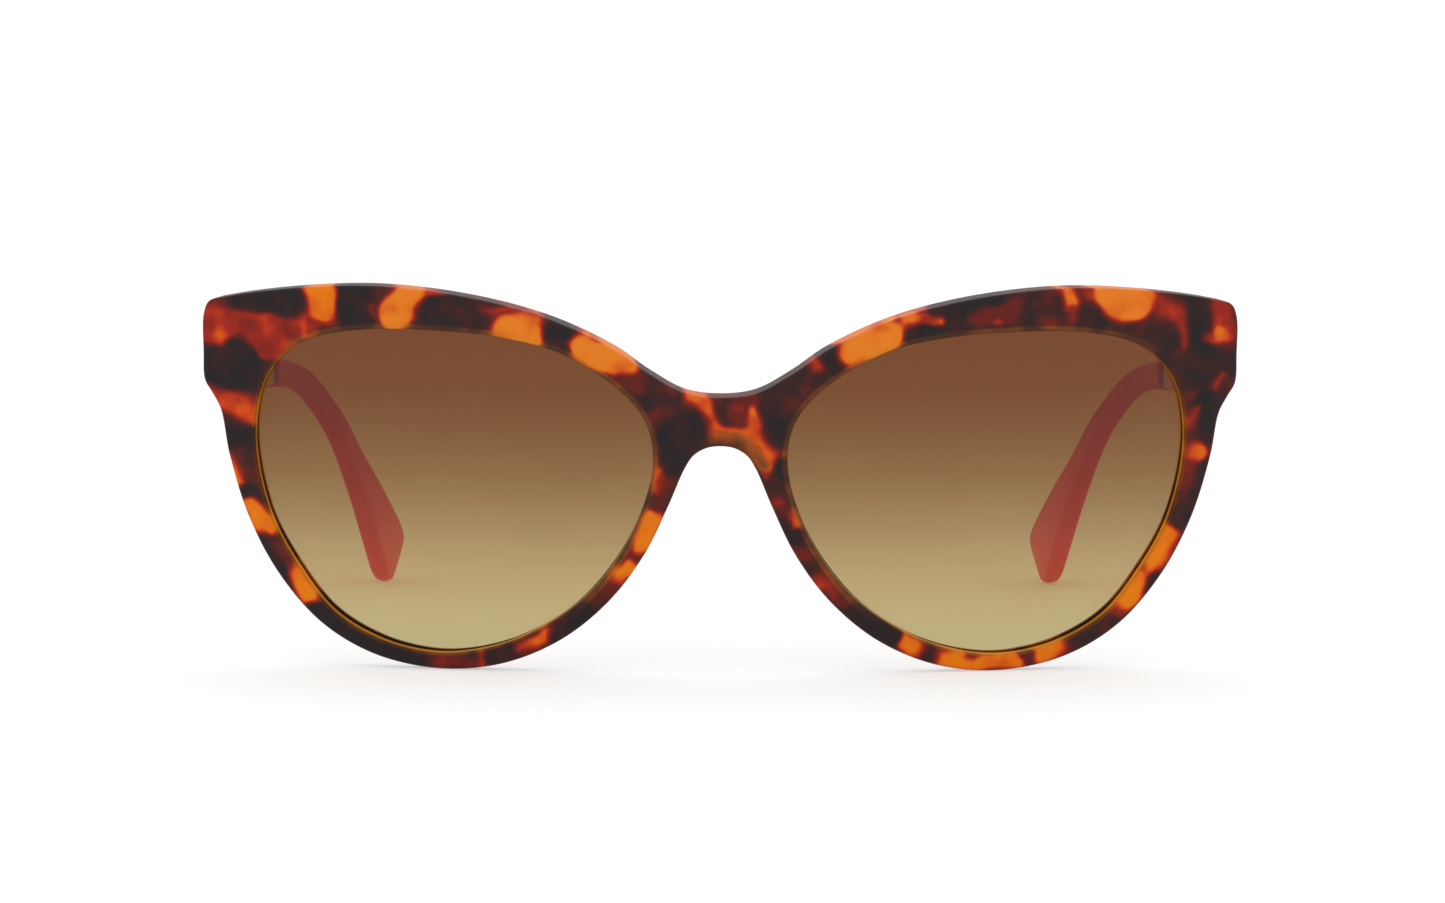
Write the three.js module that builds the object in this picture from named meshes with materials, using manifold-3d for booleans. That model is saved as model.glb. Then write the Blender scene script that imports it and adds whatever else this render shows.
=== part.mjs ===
// Cat eye sunglasses: an acetate front with two tinted lenses, and two temples that fold on
// barrel hinges. Each temple is a flat metal arm whose rear end runs inside a coloured acetate tip.
// Units are millimetres. +X is to the right of someone looking at the front, the front faces -Y,
// the temples run towards +Y, and +Z is up. The open glasses stand on z = 0 on the two rims and
// the two temple tips. "left" is the -X side and "right" is the +X side.
import * as THREE from 'three';
import { mergeGeometries, mergeVertices } from 'three/addons/utils/BufferGeometryUtils.js';
import Module from 'manifold-3d';

const wasm = await Module();
wasm.setup();

// ---- Driving dimensions ----

// The front is a sheet bent both ways and leaned top forward. Points on it are given as
// (across, up, deep): across from the middle, up along the sheet, deep behind its front face.
const FRONT_LEAN = THREE.MathUtils.degToRad(8);
const WRAP_RADIUS = 190;
const BROW_RADIUS = 260;
const BRIDGE_UP = 41.5;
const BRIDGE_HEIGHT = 40.05;
const HALF_DEPTH = 72.2;
const FRONT_THICK = 4.0;
const EDGE_BEVEL = 0.45;
const NOSE_BEVEL = 1.3;
const LIP_BEVEL = 0.25;
const REAR_LIP_START = 3.3;
const REAR_LIP_BEVEL = 0.5;
const CLEARANCE = 0.3;

// Lens and the groove that holds it: the groove is wider and deeper than the lens by the clearance.
const LENS_FRONT = 1.3;
const LENS_THICK = 1.4;
const LENS_SEAT = 0.55;
const GROOVE_FRONT = LENS_FRONT - CLEARANCE;
const GROOVE_BACK = LENS_FRONT + LENS_THICK + CLEARANCE;
const GROOVE_DEPTH = LENS_SEAT + CLEARANCE;
const LENS_MIDDLE = [37.8, 26];

// Outer edge of the right half, from the top of the bridge round to the top of the nose arch.
const OUTLINE = [
  [0, 41.2], [5, 41.8], [10, 44.3], [15, 47.5], [24, 51.5], [35, 54.1], [48, 55.15], [60, 54.15],
  [69.5, 52.3], [71.9, 51.5], [72.8, 49.5], [72.9, 44.5], [72.6, 40.2], [71.6, 38.5], [70.5, 36.2],
  [69.4, 29.9], [66.8, 21], [62.6, 12.8], [56.5, 5.8], [49, 1.6], [40, 0], [31, 1.1], [22.5, 5],
  [15.6, 11], [10.6, 18], [7.3, 25], [4.9, 30.8], [3.7, 32.7], [2, 33.8], [0, 34.1],
];
const NOSE_START = 22;
const OUTLINE_WIDEST = 72.9;
const END_PIECE_ROOM = { wide: 18, tall: 26, deep: 18 };

// Edge of the right lens opening, clockwise from the top.
const OPENING = [
  [41, 49.3], [49, 49.05], [56.5, 47.6], [61.6, 45], [64.6, 41.1], [66, 35.5], [65.9, 29],
  [63.9, 20.8], [60.4, 14.2], [55.1, 7.4], [48.5, 3.6], [41.7, 2.05], [36, 2.3], [28.5, 4.6],
  [20.8, 9.5], [14.8, 16.6], [11.2, 23.6], [9.35, 31.6], [10.4, 37.2], [14.2, 41.8],
  [22.5, 46.8], [31.4, 48.8],
];

// Nose pads: low domes glued behind the nose side of each rim.
const PAD_LINE = [[7.2, 29], [9, 24], [11.7, 18.6]];
const PAD_HEIGHT = 3.0;
const PAD_HALF_WIDTH = 1.3;

// Hinge: the pivot is a vertical pin. Depths behind the bridge are measured along +Y.
const PIVOT_ACROSS = 67.2;
const PIVOT_DEPTH = 19.2;
const PIVOT_HEIGHT = 46.8;
const BARREL_RADIUS = 1.5;
const BORE_RADIUS = 0.9;
const PIN_RADIUS = 0.65;
const PIN_HEAD_RADIUS = 1.25;
const PIN_HEAD_TALL = 0.6;
const MIDDLE_KNUCKLE = 2.0;
const OUTER_KNUCKLE = 1.7;
const KNUCKLE_GAP = 0.12;
const LEAF_THICK = 0.8;
const FRONT_LEAF = { across: 67.1, up: 46.6, width: 5.0, tall: 7.6 };
const WEB_INNER = 1.4;
const WEB_OUTER = 0.2;
const WEB_DEPTH = 15.95;
const WEB_DEPTH_CHANGE = 0.3;
const TEMPLE_LEAF_REAR = 30;
const TEMPLE_LEAF_HALF_TALL = 3.2;
const TEMPLE_LEAF_SHOULDER = 2.0;

// Screws: the leaf screws run through the front leaf into blind holes in the acetate.
const LEAF_SCREW_ACROSS = 66;
const LEAF_SCREW_SPREAD = 2.4;
const SCREW_RADIUS = 0.5;
const SCREW_HOLE_RADIUS = 0.8;
const SCREW_HEAD_RADIUS = 0.95;
const SCREW_HEAD_TALL = 0.5;
const SCREW_DEPTH = 1.9;
const SCREW_HOLE_DEPTH = 2.4;
const SCREW_TIP_CHAMFER = 0.15;
const SCREW_GAP = 0.15;
const SLOT_WIDE = 0.35;
const SLOT_DEEP = 0.25;

// Temple, seen from the side as [depth, height]; the side line is [depth, across].
const ARM_THICK = 1.8;
const ARM_CORNER = 0.5;
const ARM_END = 74.7;
const ARM_DEPTHS = [11, 20, 26, 32, 38, 44, 50, 56, 62, 68, ARM_END];
const ARM_UPPER = [[8, 51.6], [18, 51.2], [30, 49.7], [45, 45.9], [60, 42.6], [76, 40.3]];
const ARM_LOWER = [[8, 40.6], [18, 40.2], [30, 38.9], [45, 37.3], [60, 36.5], [76, 36.4]];
const SIDE_LINE = [
  [5, 70], [20, 70], [35, 70], [48, 69.9], [75, 68.7], [90, 67.7], [98, 66.3], [105, 64.2], [113, 61.3],
  [122, 58.8], [130, 56.7], [138, 54.8], [150, 52.2],
];
const TIP_STATIONS = [
  { lower: [75, 36], upper: [75, 40.8], thick: 3.1 },
  { lower: [84, 35.5], upper: [84, 39.9], thick: 3.1 },
  { lower: [92, 34.9], upper: [93, 38.9], thick: 3.0 },
  { lower: [98, 33.9], upper: [100, 37.5], thick: 2.9 },
  { lower: [102.8, 32], upper: [105.4, 35.1], thick: 2.8 },
  { lower: [107.2, 29.2], upper: [110, 32], thick: 2.8 },
  { lower: [111.8, 25.4], upper: [115.6, 28], thick: 2.8 },
  { lower: [117.5, 19.9], upper: [122.5, 22.7], thick: 2.9 },
  { lower: [123, 14], upper: [130.5, 17.3], thick: 3.0 },
  { lower: [128, 8], upper: [138.3, 12], thick: 3.1 },
  { lower: [131.6, 3.6], upper: [143, 8.7], thick: 3.0 },
  { lower: [133.4, 1.6], upper: [144.2, 7.1], thick: 2.9 },
  { lower: [135.2, 0.45], upper: [143, 5.5], thick: 2.8 },
  { lower: [136.6, 0.1], upper: [139.6, 2.3], thick: 2.6 },
];
const TIP_CORNER = 0.9;
const TANG_THICK = 1.0;
const TANG_STATIONS = 7;
const TANG_HALF_START = 1.15;
const TANG_HALF_END = 0.6;
const CORE_CORNER = 0.35;
const BORE_OVERRUN = 0.15;

// Mesh fineness.
const OUTLINE_STEP = 5;
const SEAM_STEPS = 3;
const FACE_ROWS = 2;
const OPENING_SAMPLES = 360;
const LENS_SPOKES = 48;
const LENS_RINGS = 3;
const ROUND_SIDES = 20;
const SCREW_SIDES = 12;
const PAD_STATIONS = 8;
const PAD_ARCS = 8;
const CORNER_POINTS = 3;
const TANG_STEPS = 12;
const TIP_STEPS = 22;

// ---- Solids ----

// Signed volume of an indexed geometry: positive when its triangles face out.
function signedVolume(position, index) {
  const [a, b, c] = [new THREE.Vector3(), new THREE.Vector3(), new THREE.Vector3()];
  let total = 0;
  for (let i = 0; i < index.count; i += 3) {
    a.fromBufferAttribute(position, index.getX(i));
    b.fromBufferAttribute(position, index.getX(i + 1));
    c.fromBufferAttribute(position, index.getX(i + 2));
    total += a.dot(b.cross(c)) / 6;
  }
  return total;
}

// A geometry's welded, outward-facing solid.
function toSolid(geometry) {
  const bare = new THREE.BufferGeometry();
  bare.setAttribute('position', geometry.getAttribute('position').clone());
  if (geometry.index) bare.setIndex(geometry.index.clone());
  const welded = mergeVertices(bare, 1e-4);
  const position = welded.getAttribute('position');
  const corners = Array.from(welded.index.array);
  if (signedVolume(position, welded.index) < 0) corners.reverse();
  return new wasm.Manifold(new wasm.Mesh({
    numProp: 3,
    vertProperties: new Float32Array(position.array),
    triVerts: new Uint32Array(corners),
  }));
}

// A solid back as a geometry with flat-shaded faces.
function toGeometry(solid) {
  const mesh = solid.getMesh();
  const geometry = new THREE.BufferGeometry();
  geometry.setAttribute('position', new THREE.BufferAttribute(mesh.vertProperties, mesh.numProp));
  geometry.setIndex(new THREE.BufferAttribute(mesh.triVerts, 1));
  const faceted = geometry.toNonIndexed();
  faceted.computeVertexNormals();
  return faceted;
}

// One solid from several overlapping geometries.
function joined(geometries) {
  return geometries.map(toSolid).reduce((sum, next) => sum.add(next));
}

// A solid less several geometries.
function lessCuts(solid, cuts) {
  return cuts.map(toSolid).reduce((rest, cut) => rest.subtract(cut), solid);
}

// Closed skin through equal rings of points, with flat caps on the first and last ring.
function skinThrough(rings, capped = true) {
  const count = rings[0].length;
  const points = rings.flat();
  const faces = [];
  for (let r = 0; r + 1 < rings.length; r += 1) {
    for (let k = 0; k < count; k += 1) {
      const next = (k + 1) % count;
      const [a, b] = [r * count + k, r * count + next];
      faces.push(a, b, b + count, a, b + count, a + count);
    }
  }
  const last = (rings.length - 1) * count;
  for (let k = 1; capped && k + 1 < count; k += 1) {
    faces.push(0, k + 1, k, last, last + k, last + k + 1);
  }
  const geometry = new THREE.BufferGeometry().setFromPoints(points);
  geometry.setIndex(faces);
  return geometry;
}

// The same geometry on the -X side.
function mirrored(geometry) {
  const copy = geometry.clone();
  copy.scale(-1, 1, 1);
  return toGeometry(toSolid(copy));
}

// ---- The bent front sheet ----

// Direction straight through the sheet, front to back, at a place on it.
function sheetNormal(across, up) {
  const bent = new THREE.Vector3(-across / WRAP_RADIUS, -(up - BRIDGE_UP) / BROW_RADIUS, 1);
  return leaned(bent.normalize());
}

// Turns (across, up, deep) axes into the room's axes with the front's lean.
function leaned(v) {
  const [sin, cos] = [Math.sin(FRONT_LEAN), Math.cos(FRONT_LEAN)];
  return new THREE.Vector3(v.x, cos * v.z - sin * v.y, cos * v.y + sin * v.z);
}

// Where a point of the sheet lies in the room.
function sheetPoint(across, up, deep) {
  const rise = up - BRIDGE_UP;
  const bow = across ** 2 / (2 * WRAP_RADIUS) + rise ** 2 / (2 * BROW_RADIUS);
  const place = leaned(new THREE.Vector3(across, rise, bow));
  place.addScaledVector(sheetNormal(across, up), deep);
  return place.add(new THREE.Vector3(0, -HALF_DEPTH, BRIDGE_HEIGHT));
}

// Bends a geometry drawn in (across, up, deep) onto the sheet.
function bentOntoSheet(geometry) {
  const position = geometry.getAttribute('position');
  for (let i = 0; i < position.count; i += 1) {
    const p = sheetPoint(position.getX(i), position.getY(i), position.getZ(i));
    position.setXYZ(i, p.x, p.y, p.z);
  }
  return geometry;
}

// Stands a geometry drawn along +Y straight through the sheet, its middle at the given depth.
function throughSheet(geometry, across, up, deep) {
  const up3 = new THREE.Vector3(0, 1, 0);
  const turn = new THREE.Quaternion().setFromUnitVectors(up3, sheetNormal(across, up));
  geometry.applyQuaternion(turn);
  const place = sheetPoint(across, up, deep);
  return geometry.translate(place.x, place.y, place.z);
}

// A smooth curve through [across, up] points.
function smooth(points, closed) {
  const corners = points.map(([across, up]) => new THREE.Vector3(across, up, 0));
  return new THREE.CatmullRomCurve3(corners, closed, 'centripetal');
}

// Stations along the outer edge, each with the direction pointing into the material.
function outlineStations() {
  const flip = ([across, up]) => [-across, up];
  const ends = [flip(OUTLINE[1]), flip(OUTLINE[OUTLINE.length - 2])];
  const curve = smooth([ends[0], ...OUTLINE, ends[1]], false);
  const spans = OUTLINE.length + 1;
  const stations = [];
  for (let i = 1; i < OUTLINE.length; i += 1) {
    const [from, to] = [OUTLINE[i - 1], OUTLINE[i]];
    const steps = Math.ceil(Math.hypot(to[0] - from[0], to[1] - from[1]) / OUTLINE_STEP);
    for (let k = 0; k < steps; k += 1) {
      stations.push(edgeStation(curve, (i + k / steps) / spans, i + k / steps));
    }
  }
  stations.push(edgeStation(curve, OUTLINE.length / spans, OUTLINE.length));
  stations[0].edge.x = 0;
  stations[0].inward.set(0, -1, 0);
  stations[stations.length - 1].edge.x = 0;
  stations[stations.length - 1].inward.set(0, 1, 0);
  return stations;
}

// One station of the outer edge; the rear bevel widens on the nose side.
function edgeStation(curve, t, place) {
  const edge = curve.getPoint(t);
  const along = curve.getTangent(t);
  const nose = THREE.MathUtils.smoothstep(place, NOSE_START, OUTLINE.length);
  return {
    edge,
    inward: new THREE.Vector3(along.y, -along.x, 0).normalize(),
    rear: EDGE_BEVEL + (NOSE_BEVEL - EDGE_BEVEL) * nose,
    seam: false,
  };
}

// Stations on the middle plane, up from the nose arch to the top of the bridge.
function seamStations(arch, bridge) {
  const low = arch.edge.y + arch.rear;
  const high = bridge.edge.y - EDGE_BEVEL;
  const stations = [];
  for (let k = 1; k < SEAM_STEPS; k += 1) {
    const edge = new THREE.Vector3(0, low + (high - low) * k / SEAM_STEPS, 0);
    stations.push({ edge, inward: new THREE.Vector3(), rear: 0, seam: true });
  }
  return stations;
}

// The lens opening as a fine closed line.
function openingLine() {
  const curve = smooth(OPENING, true);
  const points = curve.getSpacedPoints(OPENING_SAMPLES);
  points.pop();
  return points;
}

// Direction pointing out of the opening, into the rim, at one point of its line.
function openingOutward(line, i) {
  const before = line[(i + line.length - 1) % line.length];
  const after = line[(i + 1) % line.length];
  const along = after.clone().sub(before).normalize();
  return new THREE.Vector3(-along.y, along.x, 0);
}

// The place on the opening that faces an outer edge point, seen from the middle of the lens.
function openingFacing(line, edge) {
  const bearing = (p) => Math.atan2(p.y - LENS_MIDDLE[1], p.x - LENS_MIDDLE[0]);
  const wrap = (angle) => Math.atan2(Math.sin(angle), Math.cos(angle));
  const wanted = bearing(edge);
  for (let i = 0; i < line.length; i += 1) {
    const next = (i + 1) % line.length;
    const start = wrap(bearing(line[i]) - wanted);
    const end = wrap(bearing(line[next]) - wanted);
    if (start >= 0 && end < 0 && start - end < 1) {
      const part = start / (start - end);
      const point = line[i].clone().lerp(line[next], part);
      const outward = openingOutward(line, i).lerp(openingOutward(line, next), part);
      return { point, outward: outward.normalize() };
    }
  }
  throw new Error('the lens opening does not surround its middle');
}

// One closed section of the rim at a station: front face, outer wall, back face, groove wall.
function rimSection(station, line) {
  const { edge, inward, rear, seam } = station;
  const { point, outward } = openingFacing(line, edge);
  const at = (flat, deep) => sheetPoint(flat.x, flat.y, deep);
  const lip = point.clone().addScaledVector(outward, LIP_BEVEL);
  const rearLip = point.clone().addScaledVector(outward, REAR_LIP_BEVEL);
  const floor = point.clone().addScaledVector(outward, GROOVE_DEPTH);
  const frontEdge = edge.clone().addScaledVector(inward, EDGE_BEVEL);
  const backEdge = edge.clone().addScaledVector(inward, rear);
  const section = [];
  for (let j = 0; j <= FACE_ROWS; j += 1) {
    section.push(at(lip.clone().lerp(frontEdge, j / FACE_ROWS), 0));
  }
  section.push(seam ? null : at(edge, EDGE_BEVEL));
  section.push(seam ? null : at(edge, FRONT_THICK - rear));
  for (let j = FACE_ROWS; j >= 0; j -= 1) {
    section.push(at(rearLip.clone().lerp(backEdge, j / FACE_ROWS), FRONT_THICK));
  }
  section.push(at(point, REAR_LIP_START));
  section.push(at(point, GROOVE_BACK));
  section.push(at(floor, GROOVE_BACK));
  section.push(at(floor, GROOVE_FRONT));
  section.push(at(point, GROOVE_FRONT));
  section.push(at(point, LIP_BEVEL));
  return section;
}

// The right half of the front, open only where it meets the middle plane.
function halfFront() {
  const line = openingLine();
  const outer = outlineStations();
  const stations = [...outer, ...seamStations(outer[outer.length - 1], outer[0])];
  const sections = stations.map((station) => rimSection(station, line));
  const triangles = [];
  sections.forEach((near, i) => {
    const far = sections[(i + 1) % sections.length];
    for (let j = 0; j < near.length; j += 1) {
      const next = (j + 1) % near.length;
      const quad = [near[j], near[next], far[next], far[j]];
      if (quad.every(Boolean)) {
        triangles.push(quad[0], quad[1], quad[2], quad[0], quad[2], quad[3]);
      }
    }
  });
  return new THREE.BufferGeometry().setFromPoints(triangles);
}

// ---- Sub-parts, drawn for the right side ----

// Both halves of the front welded at the middle plane, with blind holes for the leaf screws.
function frontFrame() {
  const half = halfFront();
  const other = half.clone().scale(-1, 1, 1);
  const position = other.getAttribute('position');
  for (let i = 0; i < position.count; i += 3) {
    const [x, y, z] = [position.getX(i), position.getY(i), position.getZ(i)];
    position.setXYZ(i, position.getX(i + 1), position.getY(i + 1), position.getZ(i + 1));
    position.setXYZ(i + 1, x, y, z);
  }
  const solid = toSolid(mergeGeometries([half, other]));
  const holes = [-1, 1].flatMap((end) => {
    const hole = screwHole(end, FRONT_THICK, 2 * SCREW_HOLE_DEPTH);
    return [hole, hole.clone().scale(-1, 1, 1)];
  });
  return toGeometry(lessCuts(solid, holes));
}

// A lens: a thin bent sheet whose edge reaches into the groove.
function lens() {
  const line = openingLine();
  const middle = new THREE.Vector3(LENS_MIDDLE[0], LENS_MIDDLE[1], 0);
  const edge = [];
  for (let k = 0; k < LENS_SPOKES; k += 1) {
    const i = Math.round(k * OPENING_SAMPLES / LENS_SPOKES);
    edge.push(line[i].clone().addScaledVector(openingOutward(line, i), LENS_SEAT));
  }
  const ringAt = (share, deep) => edge.map((p) => {
    const flat = middle.clone().lerp(p, share);
    return sheetPoint(flat.x, flat.y, deep);
  });
  const rings = [];
  for (let r = 1; r <= LENS_RINGS; r += 1) {
    rings.push(ringAt(r / LENS_RINGS, LENS_FRONT));
  }
  for (let r = LENS_RINGS; r >= 1; r -= 1) {
    rings.push(ringAt(r / LENS_RINGS, LENS_FRONT + LENS_THICK));
  }
  const front = sheetPoint(middle.x, middle.y, LENS_FRONT);
  const back = sheetPoint(middle.x, middle.y, LENS_FRONT + LENS_THICK);
  return toGeometry(toSolid(closedByPoints(rings, front, back)));
}

// A skin through rings, closed at each end by a fan to one point.
function closedByPoints(rings, first, last) {
  const tube = skinThrough(rings, false).toNonIndexed();
  const fan = (ring, tip, turned) => ring.flatMap((p, k) => {
    const q = ring[(k + 1) % ring.length];
    return turned ? [tip, p, q] : [tip, q, p];
  });
  const ends = [...fan(rings[0], first, false), ...fan(rings[rings.length - 1], last, true)];
  return mergeGeometries([tube, new THREE.BufferGeometry().setFromPoints(ends)]);
}

// A nose pad: a long dome standing on the back of the rim.
function nosePad() {
  const [start, middle, end] = PAD_LINE.map(([across, up]) => new THREE.Vector3(across, up, 0));
  const curve = new THREE.QuadraticBezierCurve3(start, middle, end);
  const rings = [];
  for (let s = 0; s < PAD_STATIONS; s += 1) {
    const t = (s + 0.5) / PAD_STATIONS;
    const swell = Math.sin(Math.PI * t) ** 0.6;
    const place = curve.getPoint(t);
    const along = curve.getTangent(t);
    const side = new THREE.Vector3(along.y, -along.x, 0);
    const ring = [];
    for (let k = 0; k <= PAD_ARCS; k += 1) {
      const angle = Math.PI * k / PAD_ARCS;
      const flat = place.clone().addScaledVector(side, Math.cos(angle) * PAD_HALF_WIDTH * swell);
      const deep = FRONT_THICK + CLEARANCE + Math.sin(angle) * PAD_HEIGHT * swell;
      ring.push(sheetPoint(flat.x, flat.y, deep));
    }
    rings.push(ring);
  }
  const tip = (t) => {
    const p = curve.getPoint(t);
    return sheetPoint(p.x, p.y, FRONT_THICK + CLEARANCE);
  };
  return toGeometry(toSolid(closedByPoints(rings, tip(0), tip(1))));
}

// An upright round bar with its middle at the pivot's place and the given height.
function pivotBar(radius, tall, height, sides = ROUND_SIDES) {
  const bar = new THREE.CylinderGeometry(radius, radius, tall, sides);
  bar.rotateX(Math.PI / 2);
  return bar.translate(PIVOT_ACROSS, PIVOT_DEPTH - HALF_DEPTH, height);
}

// A box given by its lowest and highest corners, as [across, depth behind the bridge, height].
function boxBetween(low, high) {
  const size = high.map((value, i) => value - low[i]);
  const middle = high.map((value, i) => (value + low[i]) / 2);
  const box = new THREE.BoxGeometry(...size);
  return box.translate(middle[0], middle[1] - HALF_DEPTH, middle[2]);
}

// Height of the middle of an outer knuckle above or below the pivot's middle.
function outerKnuckleOffset() {
  return (MIDDLE_KNUCKLE + OUTER_KNUCKLE) / 2 + KNUCKLE_GAP;
}

// The cutter for the upper (+1) or lower (-1) leaf screw's hole, its middle at the given depth.
function screwHole(end, deep, length) {
  const bar = new THREE.CylinderGeometry(SCREW_HOLE_RADIUS, SCREW_HOLE_RADIUS, length, SCREW_SIDES);
  return throughSheet(bar, LEAF_SCREW_ACROSS, FRONT_LEAF.up + end * LEAF_SCREW_SPREAD, deep);
}

// A slotted screw turned about its axis. Lengths run from the tip at `bottom` to the seat of the
// head at `seat`, and on to the top of the head.
function slottedScrew({ radius, bottom, seat, headRadius, headTall, sides }) {
  const top = seat + headTall;
  const profile = [
    [0, bottom], [radius - SCREW_TIP_CHAMFER, bottom], [radius, bottom + SCREW_TIP_CHAMFER],
    [radius, seat], [headRadius, seat], [headRadius, seat + headTall / 2],
    [headRadius - headTall / 2, top], [0, top],
  ].map(([across, along]) => new THREE.Vector2(across, along));
  const body = new THREE.LatheGeometry(profile, sides);
  const slot = new THREE.BoxGeometry(3 * headRadius, 2 * SLOT_DEEP, SLOT_WIDE);
  slot.translate(0, top, 0);
  return toGeometry(lessCuts(toSolid(body), [slot]));
}

// Front leaf: a plate on the back of the end piece with an upper and a lower knuckle.
function frontLeaf() {
  const { across, up, width, tall } = FRONT_LEAF;
  const plate = new THREE.BoxGeometry(width, tall, LEAF_THICK, 3, 3, 1);
  plate.translate(across, up, FRONT_THICK + CLEARANCE + LEAF_THICK / 2);
  const parts = [bentOntoSheet(plate)];
  for (const end of [-1, 1]) {
    const height = PIVOT_HEIGHT + end * outerKnuckleOffset();
    const half = OUTER_KNUCKLE / 2;
    parts.push(pivotBar(BARREL_RADIUS, OUTER_KNUCKLE, height));
    parts.push(boxBetween(
      [PIVOT_ACROSS - WEB_INNER, WEB_DEPTH - WEB_DEPTH_CHANGE * end, height - half],
      [PIVOT_ACROSS + WEB_OUTER, PIVOT_DEPTH, height + half]));
  }
  const holes = [pivotBar(BORE_RADIUS, 2 * MIDDLE_KNUCKLE + 2 * OUTER_KNUCKLE, PIVOT_HEIGHT)];
  for (const end of [-1, 1]) {
    holes.push(screwHole(end, FRONT_THICK + CLEARANCE + LEAF_THICK / 2, 4 * LEAF_THICK));
  }
  return toGeometry(lessCuts(joined(parts), holes));
}

// A leaf screw: a head behind the plate and a shank reaching into the acetate.
function leafScrew(end) {
  const screw = slottedScrew({
    radius: SCREW_RADIUS,
    bottom: -SCREW_DEPTH,
    seat: CLEARANCE + LEAF_THICK + SCREW_GAP,
    headRadius: SCREW_HEAD_RADIUS,
    headTall: SCREW_HEAD_TALL,
    sides: SCREW_SIDES,
  });
  const up = FRONT_LEAF.up + end * LEAF_SCREW_SPREAD;
  return throughSheet(screw, LEAF_SCREW_ACROSS, up, FRONT_THICK);
}

// The pivot screw: a pin through all three knuckles with a slotted head on top.
function pivotScrew() {
  const reach = MIDDLE_KNUCKLE / 2 + KNUCKLE_GAP + OUTER_KNUCKLE;
  const screw = slottedScrew({
    radius: PIN_RADIUS,
    bottom: -reach,
    seat: reach + SCREW_GAP,
    headRadius: PIN_HEAD_RADIUS,
    headTall: PIN_HEAD_TALL,
    sides: ROUND_SIDES,
  });
  screw.rotateX(Math.PI / 2);
  return screw.translate(PIVOT_ACROSS, PIVOT_DEPTH - HALF_DEPTH, PIVOT_HEIGHT);
}

// Temple leaf: a middle knuckle with a plate lying along the inside of the arm.
function templeLeaf() {
  const outside = PIVOT_ACROSS + BARREL_RADIUS;
  const inside = outside - LEAF_THICK;
  const half = MIDDLE_KNUCKLE / 2;
  const shoulder = PIVOT_DEPTH + TEMPLE_LEAF_SHOULDER;
  const parts = [
    pivotBar(BARREL_RADIUS, MIDDLE_KNUCKLE, PIVOT_HEIGHT),
    boxBetween([inside, PIVOT_DEPTH, PIVOT_HEIGHT - half],
      [outside, shoulder + LEAF_THICK, PIVOT_HEIGHT + half]),
    boxBetween([inside, shoulder, PIVOT_HEIGHT - TEMPLE_LEAF_HALF_TALL],
      [outside, TEMPLE_LEAF_REAR, PIVOT_HEIGHT + TEMPLE_LEAF_HALF_TALL]),
  ];
  const bore = pivotBar(BORE_RADIUS, 2 * MIDDLE_KNUCKLE, PIVOT_HEIGHT);
  return toGeometry(lessCuts(joined(parts), [bore]));
}

// ---- Temple skins ----

// A smooth line through [depth, value] points, read at any depth.
function lineAt(points, depth) {
  const curve = smooth(points, false);
  let [low, high] = [0, 1];
  for (let k = 0; k < 24; k += 1) {
    const middle = (low + high) / 2;
    if (curve.getPoint(middle).x < depth) low = middle;
    else high = middle;
  }
  return curve.getPoint(low).y;
}

// A rounded rectangle as [along, across] corners.
function roundedRectangle(halfTall, halfThick, radius) {
  const points = [];
  for (const [sideTall, sideThick, start] of [[1, 1, 0], [-1, 1, 1], [-1, -1, 2], [1, -1, 3]]) {
    for (let k = 0; k < CORNER_POINTS; k += 1) {
      const angle = Math.PI / 2 * (start + k / (CORNER_POINTS - 1));
      points.push([
        sideTall * (halfTall - radius) + radius * Math.cos(angle),
        sideThick * (halfThick - radius) + radius * Math.sin(angle),
      ]);
    }
  }
  return points;
}

// One ring of a temple skin. The section stands between a lower and an upper [depth, height]
// and is thickened sideways about the side line.
function templeRing(lower, upper, thick, radius) {
  const [low, high] = [new THREE.Vector2(...lower), new THREE.Vector2(...upper)];
  const middle = low.clone().add(high).multiplyScalar(0.5);
  const along = high.clone().sub(low);
  const halfTall = along.length() / 2;
  along.normalize();
  return roundedRectangle(halfTall, thick / 2, radius).map(([lift, side]) => {
    const depth = middle.x + along.x * lift;
    const height = middle.y + along.y * lift;
    return new THREE.Vector3(lineAt(SIDE_LINE, depth) + side, depth - HALF_DEPTH, height);
  });
}

// Lower and upper edge and thickness of the acetate tip at a share of its length.
function tipAt(share) {
  const place = share * (TIP_STATIONS.length - 1);
  const part = (key) => smooth(TIP_STATIONS.map((station) => station[key]), false);
  const [lower, upper] = [part('lower').getPoint(share), part('upper').getPoint(share)];
  const before = TIP_STATIONS[Math.floor(place)];
  const after = TIP_STATIONS[Math.ceil(place)];
  const thick = THREE.MathUtils.lerp(before.thick, after.thick, place - Math.floor(place));
  return { lower: [lower.x, lower.y], upper: [upper.x, upper.y], thick };
}

// A ring about the middle of the tip, for the tang or for the bore round it.
function coreRing(share, grow) {
  const { lower, upper } = tipAt(share);
  const reach = share * (TIP_STATIONS.length - 1) / TANG_STATIONS;
  const half = THREE.MathUtils.lerp(TANG_HALF_START, TANG_HALF_END, Math.min(reach, 1)) + grow;
  const [low, high] = [new THREE.Vector2(...lower), new THREE.Vector2(...upper)];
  const middle = low.clone().add(high).multiplyScalar(0.5);
  const along = high.sub(low).normalize().multiplyScalar(half);
  const from = middle.clone().sub(along).toArray();
  const to = middle.clone().add(along).toArray();
  return templeRing(from, to, TANG_THICK + 2 * grow, CORE_CORNER);
}

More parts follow.
